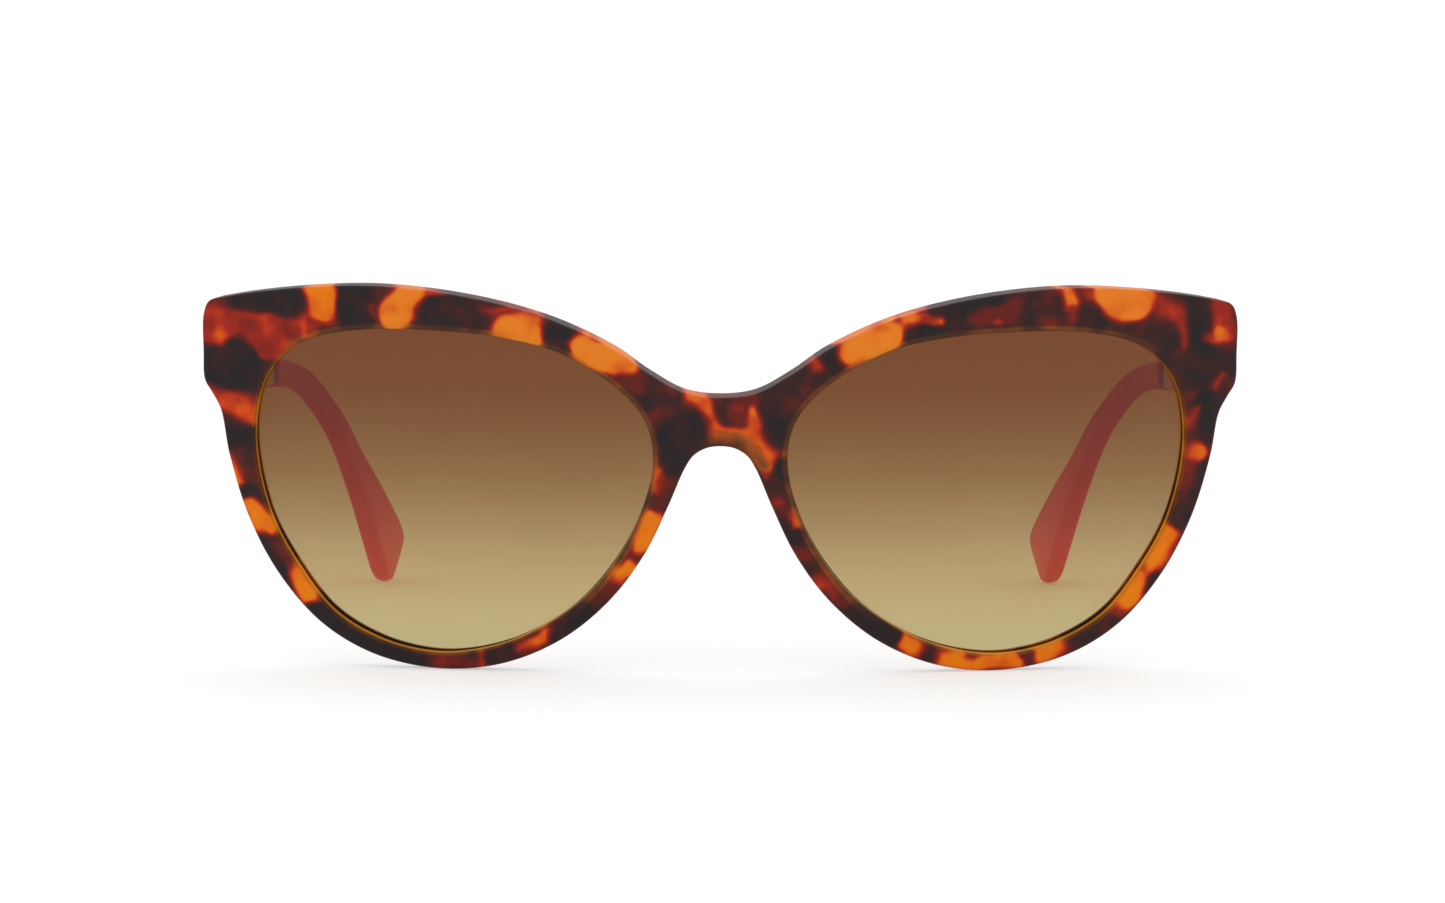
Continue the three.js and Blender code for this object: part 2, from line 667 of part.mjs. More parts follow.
// Room for the end piece: the sheet's own bend, out to the clearance behind its back face.
function endPieceRoom() {
  const { wide, tall, deep } = END_PIECE_ROOM;
  const rear = FRONT_THICK + CLEARANCE;
  const room = new THREE.BoxGeometry(wide, tall, deep, 6, 6, 1);
  room.translate(OUTLINE_WIDEST - wide / 4, PIVOT_HEIGHT, rear - deep / 2);
  return bentOntoSheet(room);
}

// The metal arm: tall at the hinge, slender at the back, then a thin tang inside the tip.
function templeArm() {
  const rings = ARM_DEPTHS.map((depth) => templeRing(
    [depth, lineAt(ARM_LOWER, depth)], [depth, lineAt(ARM_UPPER, depth)],
    ARM_THICK, ARM_CORNER));
  rings.push(coreRing(0, 0).map((p) => p.setY(ARM_END - HALF_DEPTH)));
  const reach = TANG_STATIONS / (TIP_STATIONS.length - 1);
  for (let k = 1; k <= TANG_STEPS; k += 1) {
    rings.push(coreRing(reach * k / TANG_STEPS, 0));
  }
  return toGeometry(lessCuts(toSolid(skinThrough(rings)), [endPieceRoom()]));
}

// The acetate tip: a slim sleeve that bends down and widens into a flat paddle.
function templeTip() {
  const outer = [];
  for (let k = 0; k <= TIP_STEPS; k += 1) {
    const { lower, upper, thick } = tipAt(k / TIP_STEPS);
    outer.push(templeRing(lower, upper, thick, TIP_CORNER));
  }
  const reach = (TANG_STATIONS + BORE_OVERRUN) / (TIP_STATIONS.length - 1);
  const bore = [];
  for (let k = TANG_STEPS; k >= 0; k -= 1) {
    bore.push(coreRing(reach * k / TANG_STEPS, CLEARANCE));
  }
  return toGeometry(toSolid(skinThrough([...bore, ...outer])));
}

// ---- Materials ----

function acetateTortoise() {
  return new THREE.MeshStandardMaterial({ color: 0x8a3a1a, roughness: 0.15, metalness: 0 });
}

function lensTint() {
  return new THREE.MeshStandardMaterial({ color: 0x8a6a48, roughness: 0.08, metalness: 0 });
}

function acetatePad() {
  return new THREE.MeshStandardMaterial({ color: 0x6f4a22, roughness: 0.2, metalness: 0 });
}

function paleMetal() {
  return new THREE.MeshStandardMaterial({ color: 0xd9c9a8, roughness: 0.3, metalness: 1 });
}

function screwSteel() {
  return new THREE.MeshStandardMaterial({ color: 0xb9b6ae, roughness: 0.25, metalness: 1 });
}

function acetateCoral() {
  return new THREE.MeshStandardMaterial({ color: 0xf0606a, roughness: 0.35, metalness: 0 });
}

// ---- Assembly ----

const glasses = new THREE.Group();
glasses.name = 'cat_eye_sunglasses';

function addPart(name, geometry, material) {
  const mesh = new THREE.Mesh(geometry, material);
  mesh.name = name;
  glasses.add(mesh);
}

// Adds a sub-part on the right and its mirror image on the left.
function addPair(name, geometry, material) {
  addPart(`${name}_right`, geometry, material());
  addPart(`${name}_left`, mirrored(geometry), material());
}

addPart('front_frame', frontFrame(), acetateTortoise());
addPair('lens', lens(), lensTint);
addPair('nose_pad', nosePad(), acetatePad);
addPair('hinge_leaf_front', frontLeaf(), paleMetal);
addPair('leaf_screw_upper', leafScrew(1), screwSteel);
addPair('leaf_screw_lower', leafScrew(-1), screwSteel);
addPair('pivot_screw', pivotScrew(), screwSteel);
addPair('hinge_leaf_temple', templeLeaf(), paleMetal);
addPair('temple_arm', templeArm(), paleMetal);
addPair('temple_tip', templeTip(), acetateCoral);

export default glasses;
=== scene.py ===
"""Looks for a pair of cat eye sunglasses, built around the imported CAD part.

The acetate front, the lenses, the nose pads and the temples are fine meshes drawn on the same
bent sheet as the CAD solids, and stand in for them. The hinges keep their CAD shape. Lengths are
in millimetres until a mesh is made, which turns them into metres; those of the stage and the
lights are in metres.
"""
import math

import bmesh
import bpy
import numpy as np
from mathutils import Matrix, Vector, noise


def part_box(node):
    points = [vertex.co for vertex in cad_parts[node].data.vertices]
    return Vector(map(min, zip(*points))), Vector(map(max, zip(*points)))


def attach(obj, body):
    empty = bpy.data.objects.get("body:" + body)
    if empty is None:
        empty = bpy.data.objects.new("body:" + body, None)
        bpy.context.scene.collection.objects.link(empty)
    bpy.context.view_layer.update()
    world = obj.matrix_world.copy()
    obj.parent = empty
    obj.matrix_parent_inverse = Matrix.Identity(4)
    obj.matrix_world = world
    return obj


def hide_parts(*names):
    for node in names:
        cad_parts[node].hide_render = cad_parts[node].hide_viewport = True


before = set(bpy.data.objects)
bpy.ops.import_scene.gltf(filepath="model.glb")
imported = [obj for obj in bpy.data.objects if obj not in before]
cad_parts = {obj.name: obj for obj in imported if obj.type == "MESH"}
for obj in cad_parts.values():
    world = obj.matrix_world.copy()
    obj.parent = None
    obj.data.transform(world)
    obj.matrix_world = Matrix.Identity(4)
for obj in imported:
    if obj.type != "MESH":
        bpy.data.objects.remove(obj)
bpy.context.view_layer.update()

MM = 0.001

# ---- The bent front sheet, as the CAD has it ----

FRONT_LEAN = math.radians(8)
WRAP_RADIUS = 190
BROW_RADIUS = 260
BRIDGE_UP = 41.5
BRIDGE_HEIGHT = 40.05
HALF_DEPTH = 72.2
FRONT_THICK = 4.0
ON_SEAM = 1e-6
EDGE_ROUND = 0.45
NOSE_ROUND = 1.3
LIP_ROUND = 0.25
LIP_OVERHANG = 0.5
LESS_OVERHANG_BELOW = 0.4
REAR_LIP_FLARE = 0.6
REAR_LIP_BULGE = 0.12
LENS_FRONT = 1.3
LENS_THICK = 1.4
GROOVE_DEPTH = 0.85
SNUG = 0.02
LENS_SEAT = GROOVE_DEPTH - SNUG
GROOVE_FRONT = LENS_FRONT - SNUG
GROOVE_BACK = LENS_FRONT + LENS_THICK + SNUG
LENS_MIDDLE = (37.8, 26)
# Rows of the rim run along bearings from here, a place from which none of them cross.
FACING_MIDDLE = (30, 38)

# Outer edge of the right half, from the top of the bridge round to the top of the nose arch.
OUTLINE = [
    (0, 40.75), (5, 41.4), (10, 44.1), (15, 47.5), (24, 51.5), (35, 54.1), (48, 55.15), (60, 54.2),
    (69.7, 52.4), (72.0, 51.6), (72.8, 49.7), (72.9, 44.5), (72.75, 40.3), (71.7, 38.5), (70.5, 36.2),
    (69.4, 29.9), (66.8, 21), (62.6, 12.8), (56.5, 5.8), (49, 1.6), (40, 0), (31, 1.1), (22.5, 5),
    (15.6, 11), (10.6, 18), (7.3, 25), (4.9, 30.7), (3.7, 32.5), (2, 33.55), (0, 33.85),
]
NOSE_START = 22
TANGENT_REACH = 0.01

# Edge of the right lens opening, clockwise from the top.
OPENING = [
    (41, 49.3), (49, 49.05), (56.5, 47.6), (61.6, 45), (64.6, 41.1), (66, 35.5), (65.9, 29),
    (63.9, 20.8), (60.4, 14.2), (55.1, 7.4), (48.5, 3.6), (41.7, 2.05), (36, 2.3), (28.5, 4.6),
    (20.8, 9.5), (14.8, 16.6), (11.2, 23.6), (9.35, 31.6), (10.4, 37.2), (14.2, 41.8),
    (22.5, 46.8), (31.4, 48.8),
]

PAD_LINE = [(7.2, 29), (9, 24), (11.7, 18.6)]
PAD_HEIGHT = 3.3
PAD_HALF_WIDTH = 1.3
PAD_SWELL = 0.6
PAD_SINK = 0.05

# ---- Temples, as [depth behind the bridge, height] and [depth, across] ----

ARM_THICK = 1.8
ARM_CORNER = 0.5
ARM_START_GAP = 0.3
ARM_START = 17.5
ARM_END = 74.7
ARM_UPPER = [(8, 51.6), (18, 51.2), (30, 49.7), (45, 45.9), (60, 42.6), (76, 40.3)]
ARM_LOWER = [(8, 40.6), (18, 40.2), (30, 38.9), (45, 37.3), (60, 36.5), (76, 36.4)]
SIDE_LINE = [
    (5, 70), (20, 70), (35, 70), (48, 69.9), (75, 68.7), (90, 67.7), (98, 66.3), (105, 64.2), (113, 61.3),
    (122, 58.8), (130, 56.7), (138, 54.8), (150, 52.2),
]
SIDE_REACH = (8, 148)
TIP_STATIONS = [
    ((75, 36), (75, 40.8), 3.1), ((84, 35.5), (84, 39.9), 3.1), ((92, 34.9), (93, 38.9), 3.0),
    ((98, 33.9), (100, 37.5), 2.9), ((102.8, 32), (105.4, 35.1), 2.8), ((107.2, 29.2), (110, 32), 2.8),
    ((111.8, 25.4), (115.6, 28), 2.8), ((117.5, 19.9), (122.5, 22.7), 2.9), ((123, 14), (130.5, 17.3), 3.0),
    ((128, 8), (138.3, 12), 3.1), ((131.6, 3.6), (143, 8.7), 3.0), ((133.4, 1.6), (144.2, 7.1), 2.9),
    ((135.2, 0.45), (143, 5.5), 2.8), ((136.6, 0.1), (139.6, 2.3), 2.6),
]
TIP_CORNER = 0.44
TANG_THICK = 1.0
TANG_STATIONS = 7
TANG_HALF_START = 1.15
TANG_HALF_END = 0.6
CORE_CORNER = 0.35
BORE_GAP = 0.3
BORE_OVERRUN = 0.15

# ---- Rounding of sharp edges ----

SHARP_ANGLE = math.radians(35)
ROUNDING_ANGLE = math.radians(50)
ARM_ROUNDING = 0.18
TIP_ROUNDING = 0.3
LEAF_ROUNDING = 0.08
SCREW_ROUNDING = 0.05
WELD_REACH = 0.002

# ---- Fineness ----

OUTLINE_STEP = 0.4
OPENING_SAMPLES = 1440
FACE_ROWS = 32
BACK_ROWS = 20
WALL_ROWS = 5
ARC_STEPS = 5
LIP_STEPS = 3
REAR_LIP_ROWS = 4
LENS_SPOKES = 180
LENS_RINGS = 24
ARM_STEP = 1.5
TIP_STEPS = 78
TANG_STEPS = 24
CORNER_STEPS = 8
PAD_STATIONS = 30
PAD_ARCS = 20
SIDE_SAMPLES = 400
HALVINGS = 24
CLOSING_STEPS = 12

# ---- Curves ----


def catmull(four, part):
    """A point on a centripetal Catmull-Rom span between the middle two of four points."""
    p0, p1, p2, p3 = four
    d0, d1, d2 = (math.sqrt((b - a).length) for a, b in ((p0, p1), (p1, p2), (p2, p3)))
    t1 = ((p1 - p0) / d0 - (p2 - p0) / (d0 + d1) + (p2 - p1) / d1) * d1
    t2 = ((p2 - p1) / d1 - (p3 - p1) / (d1 + d2) + (p3 - p2) / d2) * d1
    square, cube = part * part, part ** 3
    return (p1 * (2 * cube - 3 * square + 1) + p2 * (3 * square - 2 * cube)
            + t1 * (cube - 2 * square + part) + t2 * (cube - square))


def spline(points, closed=False):
    """A smooth curve through the points, as a function of a share from 0 to 1."""
    knots = [Vector(p) for p in points]
    spans = len(knots) if closed else len(knots) - 1
    if closed:
        padded = [knots[-1], *knots, knots[0], knots[1]]
    else:
        padded = [2 * knots[0] - knots[1], *knots, 2 * knots[-1] - knots[-2]]

    def at(share):
        place = min(max(share, 0), 1) * spans
        step = min(int(place), spans - 1)
        return catmull(padded[step:step + 4], place - step)
    return at


def line_at(points, depth):
    """The value of a smooth [depth, value] line at any depth."""
    curve = spline(points)
    low, high = 0.0, 1.0
    for _ in range(HALVINGS):
        middle = (low + high) / 2
        if curve(middle).x < depth:
            low = middle
        else:
            high = middle
    return curve(low).y


def smoothstep(value, low, high):
    part = min(max((value - low) / (high - low), 0), 1)
    return part * part * (3 - 2 * part)


# ---- Meshes ----


def sheet_point(across, up, deep):
    """Where a point of the bent front sheet lies in the room."""
    rise = up - BRIDGE_UP
    bow = across ** 2 / (2 * WRAP_RADIUS) + rise ** 2 / (2 * BROW_RADIUS)
    normal = Vector((-across / WRAP_RADIUS, -rise / BROW_RADIUS, 1)).normalized()
    flat = Vector((across, rise, bow)) + normal * deep
    sin, cos = math.sin(FRONT_LEAN), math.cos(FRONT_LEAN)
    depth = cos * flat.z - sin * flat.y
    return Vector((flat.x, depth - HALF_DEPTH, cos * flat.y + sin * flat.z + BRIDGE_HEIGHT))


def new_piece(name, points, faces):
    """A mesh object from points in millimetres, faces out, smooth but for its sharp edges."""
    mesh = bpy.data.meshes.new(name)
    mesh.from_pydata([tuple(p * MM for p in point) for point in points], [], faces)
    work = bmesh.new()
    work.from_mesh(mesh)
    bmesh.ops.recalc_face_normals(work, faces=work.faces)
    work.to_mesh(mesh)
    work.free()
    mesh.shade_smooth()
    mesh.set_sharp_from_angle(angle=SHARP_ANGLE)
    mesh.update()
    piece = bpy.data.objects.new(name, mesh)
    bpy.context.scene.collection.objects.link(piece)
    return piece


def skin(rings):
    """Points and faces of a skin through equal closed rings, with flat caps at its ends."""
    count = len(rings[0])
    points = [point for ring in rings for point in ring]
    faces = []
    for r in range(len(rings) - 1):
        for k in range(count):
            a, b = r * count + k, r * count + (k + 1) % count
            faces.append((a, b, b + count, a + count))
    last = (len(rings) - 1) * count
    faces.append(tuple(range(count - 1, -1, -1)))
    faces.append(tuple(range(last, last + count)))
    return points, faces


def mirrored(points):
    return [Vector((-p.x, p.y, p.z)) for p in points]


def finish_piece(piece, material, body, slot, *nodes):
    """Gives a piece its material and its body, and hides the CAD nodes that it stands for. The slot is not
    used.
    """
    piece.data.materials.append(material)
    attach(piece, body)
    if nodes:
        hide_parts(*nodes)


def rounded(piece, width, steps=3):
    """Rounds a piece's sharp edges."""
    bevel = piece.modifiers.new("rounding", "BEVEL")
    bevel.width = width * MM
    bevel.segments = steps
    bevel.limit_method = "ANGLE"
    bevel.angle_limit = ROUNDING_ANGLE
    bevel.harden_normals = True


# ---- The colour of the tortoise acetate ----

# Where the colour lies in the sheet: each stroke is a depth of colour, from 0 for clear amber
# through orange, red and brown to 1 for near black, then its two ends as across, up, radius.
# Later strokes lie over earlier ones.
GROUND = 0.78
STROKES = [
    # left end piece
    (0.45, -71, 48, 3.5, -62, 47, 3.2), (0.46, -63, 49.2, 1.4, -57.5, 48.6, 1.4),
    (1.0, -67.6, 51.9, 1.0, -60.3, 53.0, 2.0), (0.95, -60, 52, 1.3, -58.6, 52.3, 1.0),
    (0.3, -70.2, 47.1, 0.9, -69.8, 46.9, 0.7),
    (1.0, -70.3, 42.8, 2.7, -66.9, 41.3, 2.8), (1.0, -68.2, 45.2, 1.7, -66.5, 43.3, 1.9),
    (0.34, -72, 38.2, 1.3, -66, 36.4, 1.9), (0.56, -60.6, 48, 0.9, -59.7, 47.2, 0.8),
    (0.25, -58.3, 50.3, 0.4, -58.1, 47.9, 0.25),
    # left brow
    (0.5, -57, 50.2, 1.2, -53, 49.8, 1.0),
    (0.05, -55.8, 54.4, 2.2, -55.5, 52.0, 1.8), (0.1, -56, 51.6, 1.0, -55.4, 51.2, 0.8),
    (1.0, -50.9, 54.6, 2.4, -50.8, 50.0, 2.3), (0.62, -48.7, 52, 0.8, -47.6, 50.6, 1.0),
    (0.1, -42.7, 54.6, 1.9, -45.6, 51.3, 2.0), (0.35, -40.4, 54.4, 0.9, -38.2, 54.2, 0.5),
    (1.0, -40.1, 51.8, 1.8, -38.3, 51.9, 2.1), (0.82, -36.8, 52.3, 2.1, -33.9, 50.9, 2.0),
    (0.46, -33.4, 52.9, 0.5, -27.5, 51.9, 0.9), (0.62, -30.4, 51.9, 0.4, -29.2, 51.8, 0.5),
    (0.08, -30.4, 50.1, 1.2, -26.2, 49.4, 1.8), (0.15, -26.2, 51.1, 0.8, -25.2, 51.3, 0.6),
    (1.0, -23.1, 49.6, 1.6, -20.1, 49.7, 1.2), (0.82, -23.3, 47.6, 1.3, -21.2, 47.0, 0.9),
    (0.06, -18.9, 47.5, 1.7, -13.4, 45.3, 1.7), (0.15, -13, 45.2, 0.9, -12.2, 45.1, 0.6),
    (0.62, -13.3, 43.0, 1.0, -11.4, 42.4, 1.4),
    # bridge
    (0.82, -9.4, 42.4, 1.8, -5.9, 40.8, 1.6), (0.6, -7.2, 41.8, 0.4, -6.6, 41.2, 0.4),
    (0.52, -9.3, 38.4, 0.6, -8.5, 38.9, 0.7), (0.68, -8.6, 36.8, 0.4, -7.3, 38.6, 0.6),
    (1.0, -6.3, 35.7, 2.3, -3.0, 37.3, 2.0), (1.0, -5.6, 34.6, 2.2, -6.7, 31.0, 1.5),
    (0.74, 0, 40.8, 1.2, 4.2, 40.8, 1.4), (0.6, 2.1, 39.0, 1.4, 3.1, 37.5, 1.2),
    (0.2, -4.3, 40.9, 0.7, -2.3, 40.2, 0.9), (0.24, -2.1, 39.7, 0.8, -0.9, 37.0, 0.5),
    (0.22, -0.8, 36.4, 0.6, 3.8, 35.8, 0.4), (0.18, 4.4, 36.0, 0.8, 4.7, 39.0, 0.4),
    (0.4, -0.4, 35.2, 0.7, 1.0, 34.7, 0.6),
    (0.97, 6.9, 39.5, 1.5, 8.4, 36.0, 1.7), (0.88, 6.6, 41.6, 1.3, 12.2, 43.6, 1.7),
    (0.45, 7.4, 33.2, 0.7, 8.6, 32.9, 0.5), (0.14, 5.2, 34.6, 0.5, 6.9, 32.2, 0.8),
    (0.2, 6.9, 32, 0.7, 6.3, 30.5, 0.5), (0.45, 4.9, 31.8, 0.5, 6.2, 29.4, 0.4),
    # right brow
    (0.38, 12.9, 46.3, 0.5, 13.8, 45.5, 0.8), (1.0, 15.1, 47.0, 1.1, 16.0, 44.9, 1.0),
    (0.05, 18.4, 47.3, 1.6, 23.0, 49.5, 2.2), (0.22, 21.6, 50.4, 0.4, 22.6, 50.5, 0.5),
    (1.0, 27.8, 49.0, 1.7, 33.2, 50.6, 1.8), (0.2, 25.7, 51.6, 0.9, 28.1, 52.2, 0.8),
    (0.32, 28.1, 51.8, 0.7, 30.2, 51.1, 0.6), (1.0, 31.4, 52.8, 1.0, 38.0, 54.3, 1.2),
    (0.58, 34.9, 51.4, 0.9, 39.6, 51.9, 1.2), (0.58, 39.8, 52.2, 0.8, 41.2, 53.1, 1.0),
    (0.38, 37.6, 50.6, 0.3, 38.2, 50.9, 0.5), (0.96, 42.9, 51.7, 1.0, 43.2, 50.0, 1.0),
    (0.5, 45.1, 50.6, 0.6, 46.2, 50.6, 0.7),
    (0.14, 48.3, 55.2, 0.9, 48.9, 52.7, 0.7), (0.5, 48.9, 52, 0.6, 48.8, 50.6, 0.5),
    (0.5, 50.8, 54.8, 0.9, 51.3, 54, 0.7), (0.9, 51.2, 51.8, 1.3, 53.6, 50.1, 1.1),
    (0.12, 53.9, 54.3, 1.6, 59.2, 53.8, 1.6), (0.1, 55.2, 52.6, 1.7, 57.8, 52.4, 1.9),
    (0.12, 56.0, 51.6, 1.3, 56.5, 51.1, 1.2),
    # right end piece
    (0.48, 61.4, 52.9, 1.0, 64.4, 50.8, 1.1), (0.5, 64.5, 50.6, 1.0, 65.2, 46.3, 0.6),
    (0.86, 60.7, 49.0, 1.5, 62.6, 46.7, 1.6), (0.9, 57.3, 49.2, 0.4, 58.1, 49.2, 0.5),
    (0.92, 66.9, 52, 1.6, 67.5, 49.2, 1.8), (0.94, 67.4, 47.5, 1.7, 67.6, 42.8, 2.7),
    (0.45, 70.3, 52.0, 1.2, 71.4, 48.0, 1.7), (0.24, 70.4, 47.4, 1.1, 69.9, 46.9, 0.9),
    (0.42, 68.4, 47.0, 0.6, 69, 46.9, 0.8),
    (0.96, 69, 43.6, 2.0, 71.5, 43.0, 1.7), (0.5, 70.9, 41.5, 0.5, 70, 39.9, 0.4),
    (0.6, 66.0, 39.1, 0.5, 66.4, 39.0, 0.4), (1.0, 68.2, 38.0, 1.7, 69.0, 33.5, 1.5),
    (0.4, 66.0, 35.3, 0.8, 67.3, 37.0, 0.4),
    # right rim, going down
    (0.45, 66.8, 31.2, 1.2, 68.0, 30.6, 1.0), (0.14, 67.4, 31.0, 0.9, 67.5, 30.3, 0.9),
    (0.6, 66.6, 29.0, 0.9, 65.6, 26.2, 0.9), (0.9, 68.7, 28.0, 1.0, 66.6, 21.6, 1.2),
    (0.03, 63.3, 18.9, 1.4, 61.4, 15.3, 1.6), (0.96, 61.8, 12.9, 0.7, 60.5, 11.3, 0.8),
    (0.02, 59.0, 12.9, 1.2, 56.7, 9.4, 1.4), (0.5, 55.6, 8.4, 0.8, 57.2, 7.6, 0.7),
    (0.02, 31.6, 2.4, 1.2, 34.0, 1.9, 1.3), (0.08, 35.6, 1.2, 1.0, 42.2, 1.8, 1.4),
    (0.55, 34.9, 2.6, 0.4, 36.1, 2.5, 0.4), (0.68, 43.1, 2.7, 0.5, 44.4, 1.5, 0.9),
    (0.05, 45.8, 2.3, 0.9, 47.5, 3.0, 1.3), (0.95, 28.8, 4.4, 0.8, 29.2, 2.6, 0.9),
    (0.05, 26.0, 4.9, 0.9, 27.3, 4.3, 1.1), (1.0, 18.8, 9.4, 1.5, 24.0, 5.8, 1.5),
    (0.66, 16.8, 11.6, 1.0, 18.0, 11.4, 1.0), (0.48, 13.6, 14.8, 0.9, 16.2, 12.7, 1.0),
    (0.28, 13.8, 13.5, 0.3, 14.0, 13.3, 0.3), (0.5, 10.7, 19.2, 0.8, 12.2, 18.3, 0.8),
    (1.0, 8.8, 22.8, 0.9, 10.9, 20.8, 1.2), (0.33, 9.9, 24.4, 0.4, 10.6, 22.6, 0.6),
    (0.48, 7.6, 26.0, 0.5, 8.2, 25.9, 0.5), (0.95, 8.3, 31.3, 1.1, 9.1, 29.3, 0.9),
    # left rim, going down
    (1.0, -69.2, 32.9, 1.7, -66.4, 32.4, 1.7), (0.58, -68.2, 30.0, 0.6, -67.4, 29.9, 0.6),
    (0.66, -66.8, 29.4, 0.9, -66.0, 26.6, 1.0), (0.12, -69.2, 28.7, 0.9, -67.9, 25.6, 0.5),
    (0.88, -67.2, 24.7, 0.9, -64.7, 23.2, 1.1), (0.02, -66.6, 22.2, 0.9, -63.7, 19.9, 1.1),
    (0.02, -65.5, 19.9, 1.1, -64.6, 19.7, 1.0), (0.97, -64.6, 17.3, 1.4, -61.3, 11.7, 1.2),
    (0.68, -62.8, 17.3, 0.6, -60.9, 13.2, 0.6), (0.03, -59.7, 12.6, 1.1, -58.2, 9.7, 1.3),
    (1.0, -57.6, 7.0, 1.4, -50.0, 2.9, 1.5), (1.0, -50, 2.9, 1.4, -42.5, 0.9, 1.2),
    (0.62, -39.2, 0.9, 0.9, -35.2, 1.0, 1.1), (0.28, -33.5, 2.8, 0.3, -33.2, 0.8, 0.4),
    (0.92, -31.7, 2.2, 1.2, -28.9, 3.1, 1.3), (0.33, -27.9, 4.1, 0.8, -26.2, 4.9, 0.7),
    (0.16, -25.6, 5.2, 0.5, -24.6, 5.8, 0.8), (1.0, -23.2, 5.4, 1.2, -17.8, 9.6, 1.5),
    (0.7, -17.3, 11.3, 1.0, -15.4, 12.1, 1.0), (0.45, -14.8, 13.9, 0.5, -13.6, 14.1, 0.8),
    (0.03, -14.1, 15.6, 0.9, -12.9, 16.3, 1.2), (0.6, -12.6, 18.8, 0.8, -11.5, 17.7, 0.8),
    (0.04, -8.9, 23.4, 1.2, -10.9, 19.9, 1.3), (0.62, -7.6, 28.6, 1.2, -8.5, 25.6, 1.1),
    (0.24, -8.3, 30.5, 0.5, -9.1, 27.4, 0.3),
]
SOFT_LEAST = 0.45
SOFT_MOST = 1.5
SOFT_BIAS = 1.5
SOFT_LUMPS = 4.5
LIGHT_BELOW = 0.2
LIGHT_GROWTH = 0.3
CLEAR_DEPTH = 0.7
CLOUD_SHIFT = Vector((3.1, 7.7, 1.9))
CLOUDS = ((3.4, 0.16), (1.5, 0.06))
WANDERS = ((5.2, 0.75), (2.1, 0.28))
DEPTH_DRIFT = 0.22

# Without a seed, noise_vector takes its offsets from the clock.
NOISE_SEED = 69
noise.seed_set(NOISE_SEED)

# Clear olive streaks along the top of the nose arch, as across, up, radius at both ends.
CLEAR_STROKES = [(-0.6, 34.8, 0.7, 2.2, 35.2, 0.75), (2.2, 35.2, 0.75, 4.4, 33.6, 0.8),
                 (4.4, 33.6, 0.8, 5.7, 31.2, 0.7)]


def wander(places):
    """Moves places in the sheet a little, so that the strokes' edges wander, and gives how soft
    the edges are there and how cloudy the colour is."""
    moved, soft, cloud = [], [], []
    for place in places:
        shift = Vector((0, 0, 0))
        for length, reach in WANDERS:
            shift += noise.noise_vector(place / length) * reach
        moved.append((place.x + shift.x, place.y + shift.y))
        lump = min(max(0.5 + noise.noise(place / SOFT_LUMPS), 0), 1)
        soft.append(SOFT_LEAST + (SOFT_MOST - SOFT_LEAST) * lump ** SOFT_BIAS)
        cloud.append(sum(noise.noise(place / length + CLOUD_SHIFT) * reach for length, reach in CLOUDS))
    across, up = np.array(moved).T
    return across, up, np.array(soft), np.array(cloud)


def cover(across, up, soft, stroke, grown=0):
    """How much a stroke, a tapered bar with round ends, covers each place."""
    a1, b1, r1, a2, b2, r2 = stroke
    run, climb = a2 - a1, b2 - b1
    part = np.clip(((across - a1) * run + (up - b1) * climb) / (run ** 2 + climb ** 2), 0, 1)
    away = np.hypot(across - a1 - part * run, up - b1 - part * climb) - (r1 + part * (r2 - r1)) - grown
    share = np.clip((soft - away) / (2 * soft), 0, 1)
    return share * share * (3 - 2 * share)


def colour_depth(across, up, deep):
    """The depth of the tortoise colour at places in the sheet, and how clear it is there."""
    places = [Vector((a + DEPTH_DRIFT * d, b - DEPTH_DRIFT * d, d))
              for a, b, d in zip(across, up, deep)]
    across, up, soft, cloud = wander(places)
    value = np.full(across.shape, GROUND)
    for depth, *stroke in STROKES:
        grown = LIGHT_GROWTH if depth < LIGHT_BELOW else 0
        value += (depth - value) * cover(across, up, soft, stroke, grown)
    clear = np.zeros(across.shape)
    for stroke in CLEAR_STROKES:
        clear = np.maximum(clear, cover(across, up, soft, stroke))
    value = np.maximum(value + cloud, CLEAR_DEPTH * clear)
    return np.maximum(value, 0), clear


# ---- Node trees ----


def srgb(red, green, blue):
    """A colour given in 0 to 255 display values, as linear light."""
    def linear(value):
        value /= 255
        return value / 12.92 if value <= 0.04045 else ((value + 0.055) / 1.055) ** 2.4
    return (linear(red), linear(green), linear(blue), 1)


